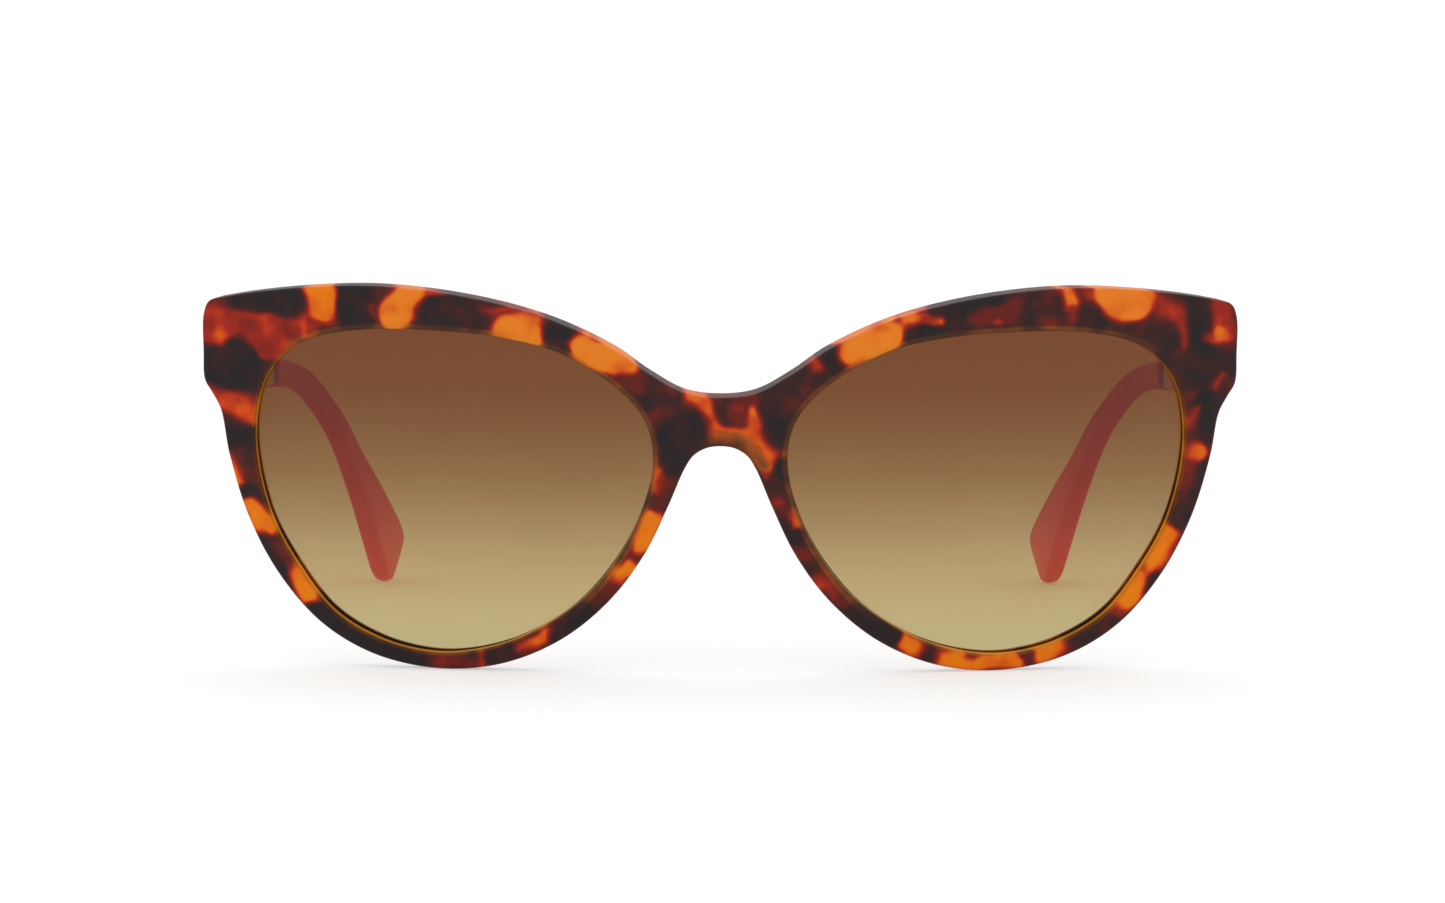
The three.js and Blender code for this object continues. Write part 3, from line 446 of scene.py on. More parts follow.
class Look:
    """A material's node tree, built one node at a time."""

    def __init__(self, name):
        self.material = bpy.data.materials.new(name)
        self.material.use_nodes = True
        self.tree = self.material.node_tree
        self.tree.nodes.clear()
        self.out = self.tree.nodes.new("ShaderNodeOutputMaterial")
        self.place = self.add("ShaderNodeTexCoord").outputs["Object"]

    def add(self, kind, inputs=None, **settings):
        node = self.tree.nodes.new(kind)
        for key, value in settings.items():
            setattr(node, key, value)
        for key, value in (inputs or {}).items():
            if isinstance(value, bpy.types.NodeSocket):
                self.tree.links.new(value, node.inputs[key])
            else:
                node.inputs[key].default_value = value
        return node

    def maths(self, how, first, second):
        return self.add("ShaderNodeMath", {0: first, 1: second}, operation=how).outputs[0]

    def noise(self, size, detail=2.0, rough=0.5, place=None):
        """A cloud of values about 0.5 whose lumps are about size millimetres across."""
        node = self.add("ShaderNodeTexNoise", {
            "Vector": place or self.place, "Scale": 1 / (size * MM), "Detail": detail, "Roughness": rough})
        return node.outputs["Fac"]

    def stretched(self, along_x, along_y, along_z):
        """Object coordinates multiplied along each axis."""
        node = self.add("ShaderNodeMapping", {"Vector": self.place, "Scale": (along_x, along_y, along_z)})
        return node.outputs[0]

    def mixed(self, share, first, second):
        node = self.add("ShaderNodeMix", data_type="RGBA")
        for socket, value in ((node.inputs[0], share), (node.inputs[6], first), (node.inputs[7], second)):
            if isinstance(value, bpy.types.NodeSocket):
                self.tree.links.new(value, socket)
            else:
                socket.default_value = value
        return node.outputs[2]

    def ramp(self, value, stops):
        node = self.add("ShaderNodeValToRGB", {"Fac": value})
        marks = node.color_ramp.elements
        while len(marks) < len(stops):
            marks.new(0.5)
        for mark, (place, colour) in zip(marks, stops):
            mark.position = place
            mark.color = colour
        return node.outputs["Color"]

    def between(self, value, low, high, to_low=0.0, to_high=1.0):
        node = self.add("ShaderNodeMapRange", {
            "Value": value, "From Min": low, "From Max": high, "To Min": to_low, "To Max": to_high})
        return node.outputs["Result"]

    def bump(self, height, strength, distance):
        node = self.add("ShaderNodeBump", {
            "Height": height, "Strength": strength, "Distance": distance * MM})
        return node.outputs["Normal"]

    def surface(self, inputs):
        shader = self.add("ShaderNodeBsdfPrincipled", inputs)
        self.tree.links.new(shader.outputs[0], self.out.inputs["Surface"])


# How much rougher the outer edge of the front is than its polished faces.
EDGE_ROUGHER = 0.3


def tortoise_look():
    """Polished tortoise acetate: clear amber through red and brown to near black."""
    look = Look("tortoise_acetate")
    depth = look.add("ShaderNodeAttribute", attribute_name="colour_depth").outputs["Fac"]
    # The thin attribute is the rim's thinness, with a painted glow on the groove and rear walls.
    thin = look.add("ShaderNodeAttribute", attribute_name="thin").outputs["Fac"]
    fine = look.noise(1.6, 3, 0.5)
    broad = look.noise(4.5, 2, 0.5)
    depth = look.maths("ADD", depth, look.between(fine, 0.3, 0.7, -0.035, 0.035))
    depth = look.maths("ADD", depth, look.between(broad, 0.3, 0.7, -0.05, 0.05))
    dye_and_glow = look.ramp(depth, [
        (0.0, srgb(219, 117, 0)), (0.12, srgb(213, 99, 2)), (0.26, srgb(194, 60, 8)),
        (0.42, srgb(150, 34, 16)), (0.6, srgb(100, 26, 20)), (0.8, srgb(58, 27, 24)),
        (1.0, srgb(34, 27, 29)),
    ])
    across, _, height = look.add("ShaderNodeSeparateXYZ", {0: look.place}).outputs
    warm = look.maths("MULTIPLY", look.between(height, 0.03, 0.045), look.between(depth, 0.35, 0.05))
    warm = look.maths("MULTIPLY", warm, look.between(across, -0.054, -0.050))
    dye_and_glow = look.mixed(look.maths("MULTIPLY", warm, 0.7), dye_and_glow, srgb(219, 121, 31))
    # Olive where the rim is thin. On the groove and rear walls, which lie in shade behind the lens, this
    # olive and the bright amber mixed in above 1 are a painted glow standing in for light carried through
    # the translucent acetate. On the lip and the face near the opening, the olive is the colour of thin
    # acetate.
    olive = look.mixed(look.between(depth, 0.1, 0.9), srgb(204, 118, 18), srgb(80, 44, 18))
    dye_and_glow = look.mixed(look.between(thin, 0, 1), dye_and_glow, olive)
    dye_and_glow = look.mixed(look.between(thin, 1, 2), dye_and_glow, srgb(236, 146, 34))
    edge = look.add("ShaderNodeAttribute", attribute_name="edge").outputs["Fac"]
    polish = look.between(look.noise(0.9, 3), 0.3, 0.7, 0.09, 0.17)
    rough = look.maths("ADD", polish, look.between(edge, 0, 1, 0, EDGE_ROUGHER))
    look.surface({
        "Base Color": dye_and_glow, "Roughness": rough, "IOR": 1.5, "Specular IOR Level": 0.13,
        "Normal": look.bump(look.noise(7, 2), 0.25, 0.05),
    })
    return look.material


# How much one face of a lens mirrors, seen straight on, and how that grows towards the edge-on
# view. The tint runs between two heights, in metres.
LENS_MIRROR = 0.028
MIRROR_POWER = 5
TINT_HEIGHTS = (0.002, 0.049)


def lens_look():
    """Brown tint fading to pale straw at the bottom. Light crosses two faces of the lens."""
    look = Look("lens_tint")
    height = look.add("ShaderNodeSeparateXYZ", {0: look.place}).outputs["Z"]
    cloud = look.between(look.noise(9, 2), 0.3, 0.7, -0.008, 0.008)
    share = look.maths("ADD", look.between(height, *TINT_HEIGHTS), cloud)
    tint = look.ramp(share, LENS_TINTS)
    clear = look.add("ShaderNodeBsdfTransparent", {"Color": tint}).outputs[0]
    shine = look.add("ShaderNodeBsdfGlossy", {"Color": (1, 1, 1, 1), "Roughness": 0.03}).outputs[0]
    facing = look.add("ShaderNodeLayerWeight", {"Blend": 0.5}).outputs["Facing"]
    mirror = look.between(look.maths("POWER", facing, MIRROR_POWER), 0, 1, LENS_MIRROR, 1)
    mix = look.add("ShaderNodeMixShader", {0: mirror, 1: clear, 2: shine})
    look.tree.links.new(mix.outputs[0], look.out.inputs["Surface"])
    return look.material


def one_face(red, green, blue):
    """The tint of one face of a lens that passes this display colour of white through both."""
    return tuple(math.sqrt(part) for part in srgb(red, green, blue))


LENS_TINTS = [
    (0.0, one_face(192, 179, 128)), (0.15, one_face(184, 166, 117)),
    (0.23, one_face(179, 158, 108)), (0.33, one_face(168, 142, 96)),
    (0.43, one_face(151, 123, 79)), (0.55, one_face(136, 100, 58)), (0.68, one_face(121, 80, 40)),
    (0.81, one_face(112, 64, 20)), (1.0, one_face(109, 56, 11)),
]


def pad_look():
    """Clear brown acetate of the nose pads."""
    look = Look("pad_acetate")
    cloud = look.noise(2.6, 3, 0.6)
    colour = look.ramp(cloud, [
        (0.3, srgb(86, 44, 26)), (0.5, srgb(140, 78, 30)), (0.7, srgb(190, 112, 40))])
    look.surface({
        "Base Color": colour, "Roughness": look.between(look.noise(0.8), 0.3, 0.7, 0.12, 0.22),
        "IOR": 1.5, "Specular IOR Level": 0.45, "Normal": look.bump(look.noise(1.1), 0.2, 0.05),
    })
    return look.material


def coral_look():
    """Satin coral acetate, very slightly clouded."""
    look = Look("coral_acetate")
    cloud = look.noise(6, 3, 0.55)
    colour = look.ramp(cloud, [
        (0.3, srgb(235, 69, 62)), (0.5, srgb(239, 74, 66)), (0.7, srgb(242, 82, 73))])
    grain = look.noise(0.35, 3, 0.6)
    look.surface({
        "Base Color": colour, "Roughness": look.between(grain, 0.3, 0.7, 0.3, 0.42),
        "IOR": 1.48, "Specular IOR Level": 0.25, "Subsurface Weight": 0.12,
        "Subsurface Radius": (0.0012, 0.0005, 0.0004), "Subsurface Scale": 1.0,
        "Normal": look.bump(grain, 0.15, 0.03),
    })
    return look.material


def metal_look(name, light, dark, grain, low_rough, high_rough):
    """Brushed plated metal, brushed along Y."""
    look = Look(name)
    brushed = look.noise(grain, 4, 0.65, look.stretched(1, 0.06, 1))
    worn = look.noise(3.5, 3)
    colour = look.mixed(look.between(brushed, 0.3, 0.7), dark, light)
    colour = look.mixed(look.between(worn, 0.35, 0.75, 0.0, 0.2), colour, light)
    look.surface({
        "Base Color": colour, "Metallic": 1.0,
        "Roughness": look.between(look.maths("ADD", brushed, worn), 0.7, 1.3, low_rough, high_rough),
        "Normal": look.bump(brushed, 0.08, 0.02),
    })
    return look.material


FLOOR_SHADE = 0.55
FLOOR_CLOUD = 0.005
FLOOR_GLOW = 0.44


def floor_look():
    """A plain pale floor that glows a little, so that the shadows on it stay faint."""
    look = Look("studio_floor")
    shade = look.between(look.noise(60, 2), 0.3, 0.7, FLOOR_SHADE - FLOOR_CLOUD, FLOOR_SHADE + FLOOR_CLOUD)
    look.surface({
        "Base Color": look.mixed(shade, (0, 0, 0, 1), (1, 1, 1, 1)), "Roughness": 0.9,
        "Specular IOR Level": 0.1, "Emission Color": (1, 1, 1, 1), "Emission Strength": FLOOR_GLOW,
    })
    return look.material


# ---- The acetate front ----


def edge_station(curve, place, spans):
    """One station of the outer edge; the rear rounding widens on the nose side."""
    edge = curve(place / spans)
    along = curve(min((place + TANGENT_REACH) / spans, 1)) - curve((place - TANGENT_REACH) / spans)
    inward = Vector((along.y, -along.x)).normalized()
    rear = EDGE_ROUND + (NOSE_ROUND - EDGE_ROUND) * smoothstep(place, NOSE_START, len(OUTLINE))
    return {"edge": edge, "inward": inward, "rear": rear, "seam": False}


def outline_stations():
    """Stations round the outer edge of the right half, each with the way into the material."""
    before, after = OUTLINE[1], OUTLINE[-2]
    curve = spline([(-before[0], before[1]), *OUTLINE, (-after[0], after[1])])
    spans = len(OUTLINE) + 1
    stations = []
    for i in range(1, len(OUTLINE)):
        length = math.dist(OUTLINE[i - 1], OUTLINE[i])
        steps = math.ceil(length / OUTLINE_STEP)
        stations += [edge_station(curve, i + k / steps, spans) for k in range(steps)]
    stations.append(edge_station(curve, len(OUTLINE), spans))
    for station, down in ((stations[0], -1), (stations[-1], 1)):
        station["edge"].x = 0
        station["inward"] = Vector((0, down))
    return stations


def seam_stations(arch, bridge):
    """Stations on the middle plane, up from the nose arch to the top of the bridge."""
    low = arch["edge"].y + arch["rear"]
    high = bridge["edge"].y - EDGE_ROUND
    steps = math.ceil((high - low) / OUTLINE_STEP)
    return [{"edge": Vector((0, low + (high - low) * k / steps)), "inward": Vector((0, 0)),
             "rear": 0, "seam": True} for k in range(1, steps)]


def opening_line():
    """The lens opening as fine points, each with the direction into the rim."""
    curve = spline(OPENING, closed=True)
    line = [curve(k / OPENING_SAMPLES) for k in range(OPENING_SAMPLES)]
    outward = []
    for k in range(OPENING_SAMPLES):
        along = (line[(k + 1) % OPENING_SAMPLES] - line[k - 1]).normalized()
        outward.append(Vector((-along.y, along.x)))
    return line, outward


def bearing(point):
    """The direction of a point of the sheet, seen from inside the lens opening."""
    return math.atan2(point.y - FACING_MIDDLE[1], point.x - FACING_MIDDLE[0])


def opening_facing(opening, edge):
    """The place on the opening that lies on the same bearing as an outer point."""
    line, outward = opening
    wanted = bearing(edge)
    turn = [math.remainder(bearing(p) - wanted, 2 * math.pi) for p in line]
    for k in range(len(line)):
        start, end = turn[k], turn[(k + 1) % len(line)]
        if start >= 0 > end and start - end < 1:
            part = start / (start - end)
            following = (k + 1) % len(line)
            return (line[k].lerp(line[following], part),
                    outward[k].lerp(outward[following], part).normalized())
    raise ValueError("the lens opening does not surround its middle")


def arc(start, end, steps):
    """Shares of a quarter round: how far along the first and the second direction."""
    for k in range(start, end):
        angle = math.pi / 2 * k / steps
        yield math.sin(angle), math.cos(angle)


SHELTER_RISE = 0.75
SHELTER_NONE = -0.1
SHELTER_FULL = 0.45


def shelter(outward):
    """1 where the wall of the opening faces down or away from the middle, 0 where it faces up
    or the middle."""
    return smoothstep(SHELTER_RISE * outward[1] - outward[0], SHELTER_NONE, SHELTER_FULL)


def rim_section(station, opening):
    """One closed section of the rim as (across, up, deep, kind) or None on the seam.

    Kind is "face" on the front face, "lip" on its rounding at the lens, "groove" on the wall behind that,
    "rear" where the lens is held from behind, "edge" round the outside and "back" behind. The groove
    and rear walls carry a painted glow in their colour."""
    edge, inward, rear, seam = (station[key] for key in ("edge", "inward", "rear", "seam"))
    point, outward = opening_facing(opening, edge)
    seen = 1 - shelter(outward)
    brow = point - outward * LIP_OVERHANG * seen * (1 - LESS_OVERHANG_BELOW * outward.y ** 2)
    section = []

    def put(flat, deep, kind):
        section.append((flat.x, flat.y, deep, kind))

    for sin, cos in arc(0, LIP_STEPS, LIP_STEPS):
        put(brow + outward * LIP_ROUND * (1 - cos), LIP_ROUND * (1 - sin), "lip")
    lip = brow + outward * LIP_ROUND
    front_edge = edge + inward * EDGE_ROUND
    for j in range(FACE_ROWS + 1):
        put(lip.lerp(front_edge, j / FACE_ROWS), 0, "face")
    for sin, cos in arc(1, ARC_STEPS, ARC_STEPS):
        put(edge + inward * EDGE_ROUND * (1 - sin), EDGE_ROUND * (1 - cos), "edge")
    for j in range(WALL_ROWS + 1):
        put(edge, EDGE_ROUND + (FRONT_THICK - rear - EDGE_ROUND) * j / WALL_ROWS, "edge")
    for sin, cos in arc(1, ARC_STEPS, ARC_STEPS):
        put(edge + inward * rear * (1 - cos), FRONT_THICK - rear * (1 - sin), "edge")
    if seam:
        kept = LIP_STEPS + FACE_ROWS + 1
        section[kept:] = [None] * (len(section) - kept)
    flare = point + outward * REAR_LIP_FLARE
    back_edge = edge + inward * rear
    for j in range(BACK_ROWS + 1):
        put(back_edge.lerp(flare, j / BACK_ROWS), FRONT_THICK, "back")
    for j in range(1, REAR_LIP_ROWS + 1):
        part = j / REAR_LIP_ROWS
        bulge = REAR_LIP_BULGE * math.sin(math.pi * part)
        put(flare.lerp(point, part) - outward * bulge,
            FRONT_THICK + (GROOVE_BACK - FRONT_THICK) * part + bulge, "rear")
    put(point + outward * GROOVE_DEPTH, GROOVE_BACK, "groove")
    put(point + outward * GROOVE_DEPTH, GROOVE_FRONT, "groove")
    put(brow, GROOVE_FRONT, "groove")
    put(brow, (GROOVE_FRONT + LIP_ROUND) / 2, "groove")
    return section


def front_faces(sections, number):
    """Quads between neighbouring sections, whose corners number names."""
    faces = []
    for i, near in enumerate(sections):
        far_i = (i + 1) % len(sections)
        for j in range(len(near)):
            after = (j + 1) % len(near)
            corners = [(i, j), (i, after), (far_i, after), (far_i, j)]
            if all(sections[s][k] for s, k in corners):
                faces.append([number[corner] for corner in corners])
    return faces


THIN_REACH = 0.9
THIN_FADE = 0.35
THIN_FACE = 0.6
CLEAR_STREAK = 0.75
# Thinness of the lip, groove and rear walls on the sheltered and the seen side. On the groove and rear
# walls, which sit in shade behind the lens, these values paint a glow that stands in for light carried
# through the translucent acetate.
WALL_THINNESS_AND_GLOW = {"lip": (0.5, 0.35), "groove": (0.8, 1.4), "rear": (0.3, 0.5)}


def thinness_and_glow(across, up, kind, opening_points, opening_out):
    """How thin the rim is at a point, which brings out the olive of thin acetate; on the groove and rear
    walls it is a painted glow of light carried through the translucent rim, brightest on the seen groove
    wall.
    """
    if kind in ("edge", "back"):
        return 0.0
    side = Vector((abs(across), up))
    offsets = opening_points - np.array(side)
    away = np.hypot(offsets[:, 0], offsets[:, 1])
    nearest = int(away.argmin())
    out = opening_out[nearest]
    behind = shelter(out)
    if kind != "face":
        return WALL_THINNESS_AND_GLOW[kind][0] * behind + WALL_THINNESS_AND_GLOW[kind][1] * (1 - behind)
    return THIN_FACE * behind * (1 - smoothstep(away[nearest], THIN_REACH - THIN_FADE, THIN_REACH))


def front_piece(material):
    """The whole acetate front: both rims, the bridge and the end pieces."""
    opening = opening_line()
    outer = outline_stations()
    stations = outer + seam_stations(outer[-1], outer[0])
    sections = [rim_section(station, opening) for station in stations]
    flats, faces = [], []
    middle = {}
    for side in (1, -1):
        number = {}
        for i, section in enumerate(sections):
            for j, place in enumerate(section):
                if place is None:
                    continue
                across, up, deep, kind = place
                on_seam = abs(across) < ON_SEAM
                if on_seam and (i, j) in middle:
                    number[i, j] = middle[i, j]
                    continue
                number[i, j] = len(flats)
                flats.append((side * across, up, deep, kind))
                if on_seam:
                    middle[i, j] = number[i, j]
        half = front_faces(sections, number)
        faces += half if side == 1 else [face[::-1] for face in half]
    piece = new_piece("front_acetate", [sheet_point(*flat[:3]) for flat in flats], faces)
    paint_front(piece, flats, opening)
    finish_piece(piece, material, "front", "tortoise_acetate", "front_frame")


def paint_front(piece, flats, opening):
    """Stores the depth of colour, the thinness of the rim with its painted glow on the groove and rear
    walls, and the outer edge at each point.
    """
    across, up, deep = (np.array([flat[k] for flat in flats]) for k in range(3))
    value, clear = colour_depth(across, up, deep)
    depth = piece.data.attributes.new("colour_depth", "FLOAT", "POINT")
    depth.data.foreach_set("value", value.astype(np.float32))
    points = np.array([tuple(p) for p in opening[0]])
    out = np.array([tuple(p) for p in opening[1]])
    values = [max(thinness_and_glow(a, b, kind, points, out), CLEAR_STREAK * streak)
              for (a, b, _, kind), streak in zip(flats, clear)]
    # The thin attribute holds the rim's thinness and, on the groove and rear walls, a painted glow.
    thin = piece.data.attributes.new("thin", "FLOAT", "POINT")
    thin.data.foreach_set("value", np.array(values, dtype=np.float32))
    edge = piece.data.attributes.new("edge", "FLOAT", "POINT")
    edge.data.foreach_set("value", np.array([kind == "edge" for *_, kind in flats], dtype=np.float32))


# ---- Lenses and nose pads ----

LENS_EDGE_ROUND = 0.2


def lens_rings():
    """Rings of a lens from the middle of its front round its edge to the middle of its back."""
    line, outward = opening_line()
    step = OPENING_SAMPLES // LENS_SPOKES
    edge = [line[k * step] + outward[k * step] * LENS_SEAT for k in range(LENS_SPOKES)]
    middle = Vector(LENS_MIDDLE)

    def ring(share, deep, inset=0.0):
        flats = [middle.lerp(p, share) for p in edge]
        return [sheet_point(f.x - inset * outward[k * step].x, f.y - inset * outward[k * step].y, deep)
                for k, f in enumerate(flats)]

    back = LENS_FRONT + LENS_THICK
    rings = [ring(r / LENS_RINGS, LENS_FRONT) for r in range(1, LENS_RINGS)]
    rings += [ring(1, LENS_FRONT, LENS_EDGE_ROUND), ring(1, LENS_FRONT + LENS_EDGE_ROUND)]
    rings += [ring(1, back - LENS_EDGE_ROUND), ring(1, back, LENS_EDGE_ROUND)]
    rings += [ring(r / LENS_RINGS, back) for r in range(LENS_RINGS - 1, 0, -1)]
    return rings


def lens_pieces(material):
    rings = lens_rings()
    points, faces = skin(rings)
    for side, name in ((1, "right"), (-1, "left")):
        placed = points if side == 1 else mirrored(points)
        piece = new_piece(f"lens_glass_{name}", placed, faces)
        finish_piece(piece, material, "front", "lens_tint", f"lens_{name}")


def pad_rings():
    """Rings of a nose pad, a long low dome on the back of the rim."""
    start, middle, end = (Vector(p) for p in PAD_LINE)
    rings = []
    for s in range(PAD_STATIONS):
        share = (s + 0.5) / PAD_STATIONS
        place = start.lerp(middle, share).lerp(middle.lerp(end, share), share)
        along = (middle.lerp(end, share) - start.lerp(middle, share)).normalized()
        side = Vector((along.y, -along.x))
        swell = math.sin(math.pi * share) ** PAD_SWELL
        ring = []
        for k in range(PAD_ARCS + 1):
            angle = math.pi * k / PAD_ARCS
            flat = place + side * math.cos(angle) * PAD_HALF_WIDTH * swell
            deep = FRONT_THICK - PAD_SINK + math.sin(angle) * PAD_HEIGHT * swell
            ring.append(sheet_point(flat.x, flat.y, deep))
        rings.append(ring)
    return rings


def pad_pieces(material):
    points, faces = skin(pad_rings())
    for side, name in ((1, "right"), (-1, "left")):
        placed = points if side == 1 else mirrored(points)
        piece = new_piece(f"pad_{name}", placed, faces)
        finish_piece(piece, material, "front", "pad_acetate", f"nose_pad_{name}")


# ---- Temples ----


def rounded_rectangle(half_tall, half_thick, radius):
    """A rounded rectangle as (along, across) corners."""
    points = []
    for quarter, (tall, thick) in enumerate(((1, 1), (-1, 1), (-1, -1), (1, -1))):
        for k in range(CORNER_STEPS):
            angle = math.pi / 2 * (quarter + k / (CORNER_STEPS - 1))
            points.append((tall * (half_tall - radius) + radius * math.cos(angle),
                           thick * (half_thick - radius) + radius * math.sin(angle)))
    return points


def temple_ring(lower, upper, thick, radius):
    """A section between a lower and an upper [depth, height], thickened about the side line."""
    low, high = Vector(lower), Vector(upper)
    middle = (low + high) / 2
    along = (high - low).normalized()
    ring = []
    for lift, side in rounded_rectangle((high - low).length / 2, thick / 2, radius):
        place = middle + along * lift
        ring.append(Vector((SIDE(place.x) + side, place.x - HALF_DEPTH, place.y)))
    return ring


def sampled(points, low, high):
    """A quick reader of a smooth [depth, value] line."""
    depths = np.linspace(low, high, SIDE_SAMPLES)
    values = [line_at(points, depth) for depth in depths]
    return lambda depth: float(np.interp(depth, depths, values))


SIDE = sampled(SIDE_LINE, *SIDE_REACH)


def tip_at(share):
    """Lower and upper edge and thickness of the acetate tip at a share of its length."""
    lower = spline([station[0] for station in TIP_STATIONS])(share)
    upper = spline([station[1] for station in TIP_STATIONS])(share)
    place = share * (len(TIP_STATIONS) - 1)
    step = min(int(place), len(TIP_STATIONS) - 2)
    before, after = TIP_STATIONS[step][2], TIP_STATIONS[step + 1][2]
    return lower, upper, before + (after - before) * (place - step)


def core_ring(share, grow):
    """A ring about the middle of the tip, for the tang or for the bore round it."""
    lower, upper, _ = tip_at(share)
    reach = min(share * (len(TIP_STATIONS) - 1) / TANG_STATIONS, 1)
    half = TANG_HALF_START + (TANG_HALF_END - TANG_HALF_START) * reach + grow
    middle = (lower + upper) / 2
    along = (upper - lower).normalized() * half
    return temple_ring(middle - along, middle + along, TANG_THICK + 2 * grow, CORE_CORNER)


def against_end_piece(ring):
    """Moves a ring's points along Y onto the back of the end piece, less a small gap."""
    moved = []
    for point in ring:
        up = BRIDGE_UP + point.z - BRIDGE_HEIGHT
        for _ in range(CLOSING_STEPS):
            touch = sheet_point(point.x, up, FRONT_THICK + ARM_START_GAP)
            up += point.z - touch.z
        across = point.x + (point.x - touch.x)
        touch = sheet_point(across, up, FRONT_THICK + ARM_START_GAP)
        moved.append(Vector((point.x, touch.y, point.z)))
    return moved


def arm_rings():
    """The metal arm: tall at the hinge, slender at the back, then a thin tang inside the tip."""
    def ring(depth):
        return temple_ring((depth, line_at(ARM_LOWER, depth)), (depth, line_at(ARM_UPPER, depth)),
                           ARM_THICK, ARM_CORNER)

    rings = [against_end_piece(ring(ARM_START))]
    start = ARM_START + ARM_STEP
    steps = math.ceil((ARM_END - start) / ARM_STEP)
    rings += [ring(start + (ARM_END - start) * k / steps) for k in range(1, steps + 1)]
    rings.append([Vector((p.x, ARM_END - HALF_DEPTH, p.z)) for p in core_ring(0, 0)])
    reach = TANG_STATIONS / (len(TIP_STATIONS) - 1)
    rings += [core_ring(reach * k / TANG_STEPS, 0) for k in range(1, TANG_STEPS + 1)]
    return rings


def tip_rings():
    """The acetate tip: a slim sleeve with a bore, which bends down and widens into a paddle."""
    outer = []
    for k in range(TIP_STEPS + 1):
        lower, upper, thick = tip_at(k / TIP_STEPS)
        outer.append(temple_ring(lower, upper, thick, TIP_CORNER * thick))
    reach = (TANG_STATIONS + BORE_OVERRUN) / (len(TIP_STATIONS) - 1)
    bore = [core_ring(reach * k / TANG_STEPS, BORE_GAP) for k in range(TANG_STEPS, -1, -1)]
    return bore + outer


def temple_pieces(metal, coral):
    arm, tip = skin(arm_rings()), skin(tip_rings())
    for side, name in ((1, "right"), (-1, "left")):
        for (points, faces), label, material, slot, node, width in (
                (arm, "arm_metal", metal, "temple_metal", "temple_arm", ARM_ROUNDING),
                (tip, "tip_acetate", coral, "coral_acetate", "temple_tip", TIP_ROUNDING)):
            placed = points if side == 1 else mirrored(points)
            piece = new_piece(f"{label}_{name}", placed, faces)
            rounded(piece, width)
            piece.modifiers.new("weld", "WELD").merge_threshold = WELD_REACH * MM
            finish_piece(piece, material, f"temple_{name}", slot, f"{node}_{name}")


# ---- Hinges ----


def hinge_looks(metal, steel):
    """The hinge leaves and screws keep their CAD shape, with softened edges."""
    for name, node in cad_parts.items():
        if name.startswith("hinge_leaf"):
            material, width = metal, LEAF_ROUNDING
        elif "screw" in name:
            material, width = steel, SCREW_ROUNDING
        else:
            continue
        node.data.materials.clear()
        node.data.materials.append(material)
        rounded(node, width, steps=2)


FRONT_LEAF = (67.1, 46.6)
FRONT_LEAF_SIZE = (5.0, 7.6)
TEMPLE_LEAF_LONG = 8.8
LEAF_GAP = 0.3
BED_INSET = 0.25
BED_CORNER = 0.4
BED_SINK = 0.05


def leaf_beds(metal):
    """Thin beds between each hinge leaf and the acetate or the arm that it is fixed to."""
    across, up = FRONT_LEAF
    wide, tall = FRONT_LEAF_SIZE
    outline = rounded_rectangle(tall / 2 - BED_INSET, wide / 2 - BED_INSET, BED_CORNER)
    front = [[sheet_point(across + side, up + lift, deep) for lift, side in outline]
             for deep in (FRONT_THICK - BED_SINK, FRONT_THICK + LEAF_GAP + BED_SINK)]
    low, high = (corner / MM for corner in map(Vector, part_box("hinge_leaf_temple_right")))
    outline = rounded_rectangle((high.z - low.z) / 2 - BED_INSET, TEMPLE_LEAF_LONG / 2 - BED_INSET,
                                BED_CORNER)
    middle = Vector((0, high.y - TEMPLE_LEAF_LONG / 2, (low.z + high.z) / 2))
    inner = SIDE(high.y + HALF_DEPTH) - ARM_THICK / 2
    temple = [[middle + Vector((place, along, lift)) for lift, along in outline]
              for place in (high.x - BED_SINK, inner + BED_SINK)]
    for rings, label in ((front, "front"), (temple, "temple")):
        points, faces = skin(rings)
        for side, name in ((1, "right"), (-1, "left")):
            placed = points if side == 1 else mirrored(points)
            piece = new_piece(f"{label}_leaf_bed_{name}", placed, faces)
            body = "front" if label == "front" else f"temple_{name}"
            finish_piece(piece, metal, body, "temple_metal")


# ---- Stage, lights and camera ----

CAMERA_ACROSS = -2.5
CAMERA_BACK = 772.2
CAMERA_HEIGHT = 84.3
AIM_ACROSS = 0.3
CAMERA_TILT = math.radians(4.2765)
CAMERA_ROLL = math.radians(0.2)
FOCAL_LENGTH = 126.4
SENSOR_WIDTH = 36
SIGHT_END = 20
FLOOR_HALF = 4.0
WORLD_LIGHT = 1.08
LAMP_PLACE = (0, 0.1, 1.6)
LAMP_SIZE = 2.4
LAMP_POWER = 2.5


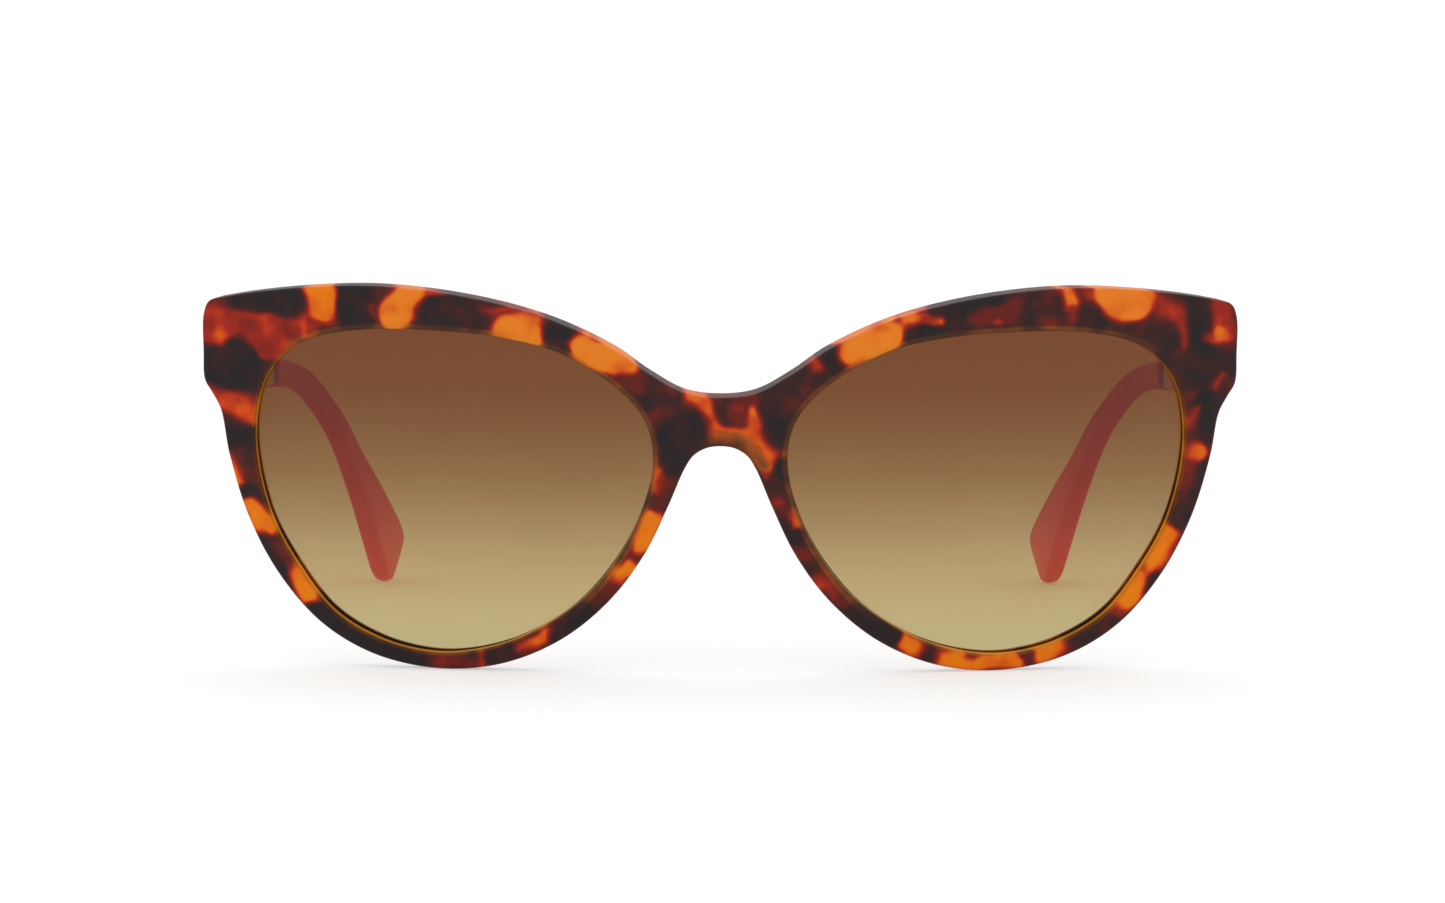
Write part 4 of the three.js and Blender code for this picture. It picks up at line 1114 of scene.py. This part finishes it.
def stage_floor():
    """A wide pale floor."""
    half = FLOOR_HALF
    corners = [(-half, -half, 0), (half, -half, 0), (half, half, 0), (-half, half, 0)]
    mesh = bpy.data.meshes.new("studio_floor")
    mesh.from_pydata(corners, [], [(0, 1, 2, 3)])
    mesh.materials.append(floor_look())
    floor = bpy.data.objects.new("studio_floor", mesh)
    bpy.context.scene.collection.objects.link(floor)


def add_lights():
    """An even white world and one wide, weak lamp that shines straight down."""
    world = bpy.data.worlds.new("studio")
    world.use_nodes = True
    back = world.node_tree.nodes["Background"]
    back.inputs["Color"].default_value = (1, 1, 1, 1)
    back.inputs["Strength"].default_value = WORLD_LIGHT
    bpy.context.scene.world = world
    light = bpy.data.lights.new("overhead", "AREA")
    light.shape = "SQUARE"
    light.size = LAMP_SIZE
    light.energy = LAMP_POWER
    lamp = bpy.data.objects.new("overhead", light)
    lamp.location = LAMP_PLACE
    bpy.context.scene.collection.objects.link(lamp)


def add_camera():
    data = bpy.data.cameras.new("camera")
    data.lens = FOCAL_LENGTH
    data.sensor_width = SENSOR_WIDTH
    data.clip_end = SIGHT_END
    camera = bpy.data.objects.new("camera", data)
    place = Vector((CAMERA_ACROSS, -CAMERA_BACK, CAMERA_HEIGHT))
    reach = CAMERA_BACK - HALF_DEPTH
    aim = Vector((AIM_ACROSS, -HALF_DEPTH, CAMERA_HEIGHT - reach * math.tan(CAMERA_TILT)))
    turn = (aim - place).to_track_quat("-Z", "Y").to_matrix()
    roll = Matrix.Rotation(CAMERA_ROLL, 3, "Z")
    camera.matrix_world = Matrix.Translation(place * MM) @ (turn @ roll).to_4x4()
    bpy.context.scene.collection.objects.link(camera)
    bpy.context.scene.camera = camera
    bpy.context.scene.view_settings.view_transform = "Standard"


# ---- Build ----

metal = metal_look("temple_metal", light=(0.84, 0.78, 0.66, 1), dark=(0.74, 0.68, 0.56, 1),
                   grain=0.4, low_rough=0.3, high_rough=0.4)
steel = metal_look("screw_steel", light=(0.76, 0.75, 0.72, 1), dark=(0.66, 0.65, 0.63, 1),
                   grain=0.25, low_rough=0.18, high_rough=0.28)
front_piece(tortoise_look())
lens_pieces(lens_look())
pad_pieces(pad_look())
temple_pieces(metal, coral_look())
hinge_looks(metal, steel)
leaf_beds(metal)
stage_floor()
add_lights()
add_camera()
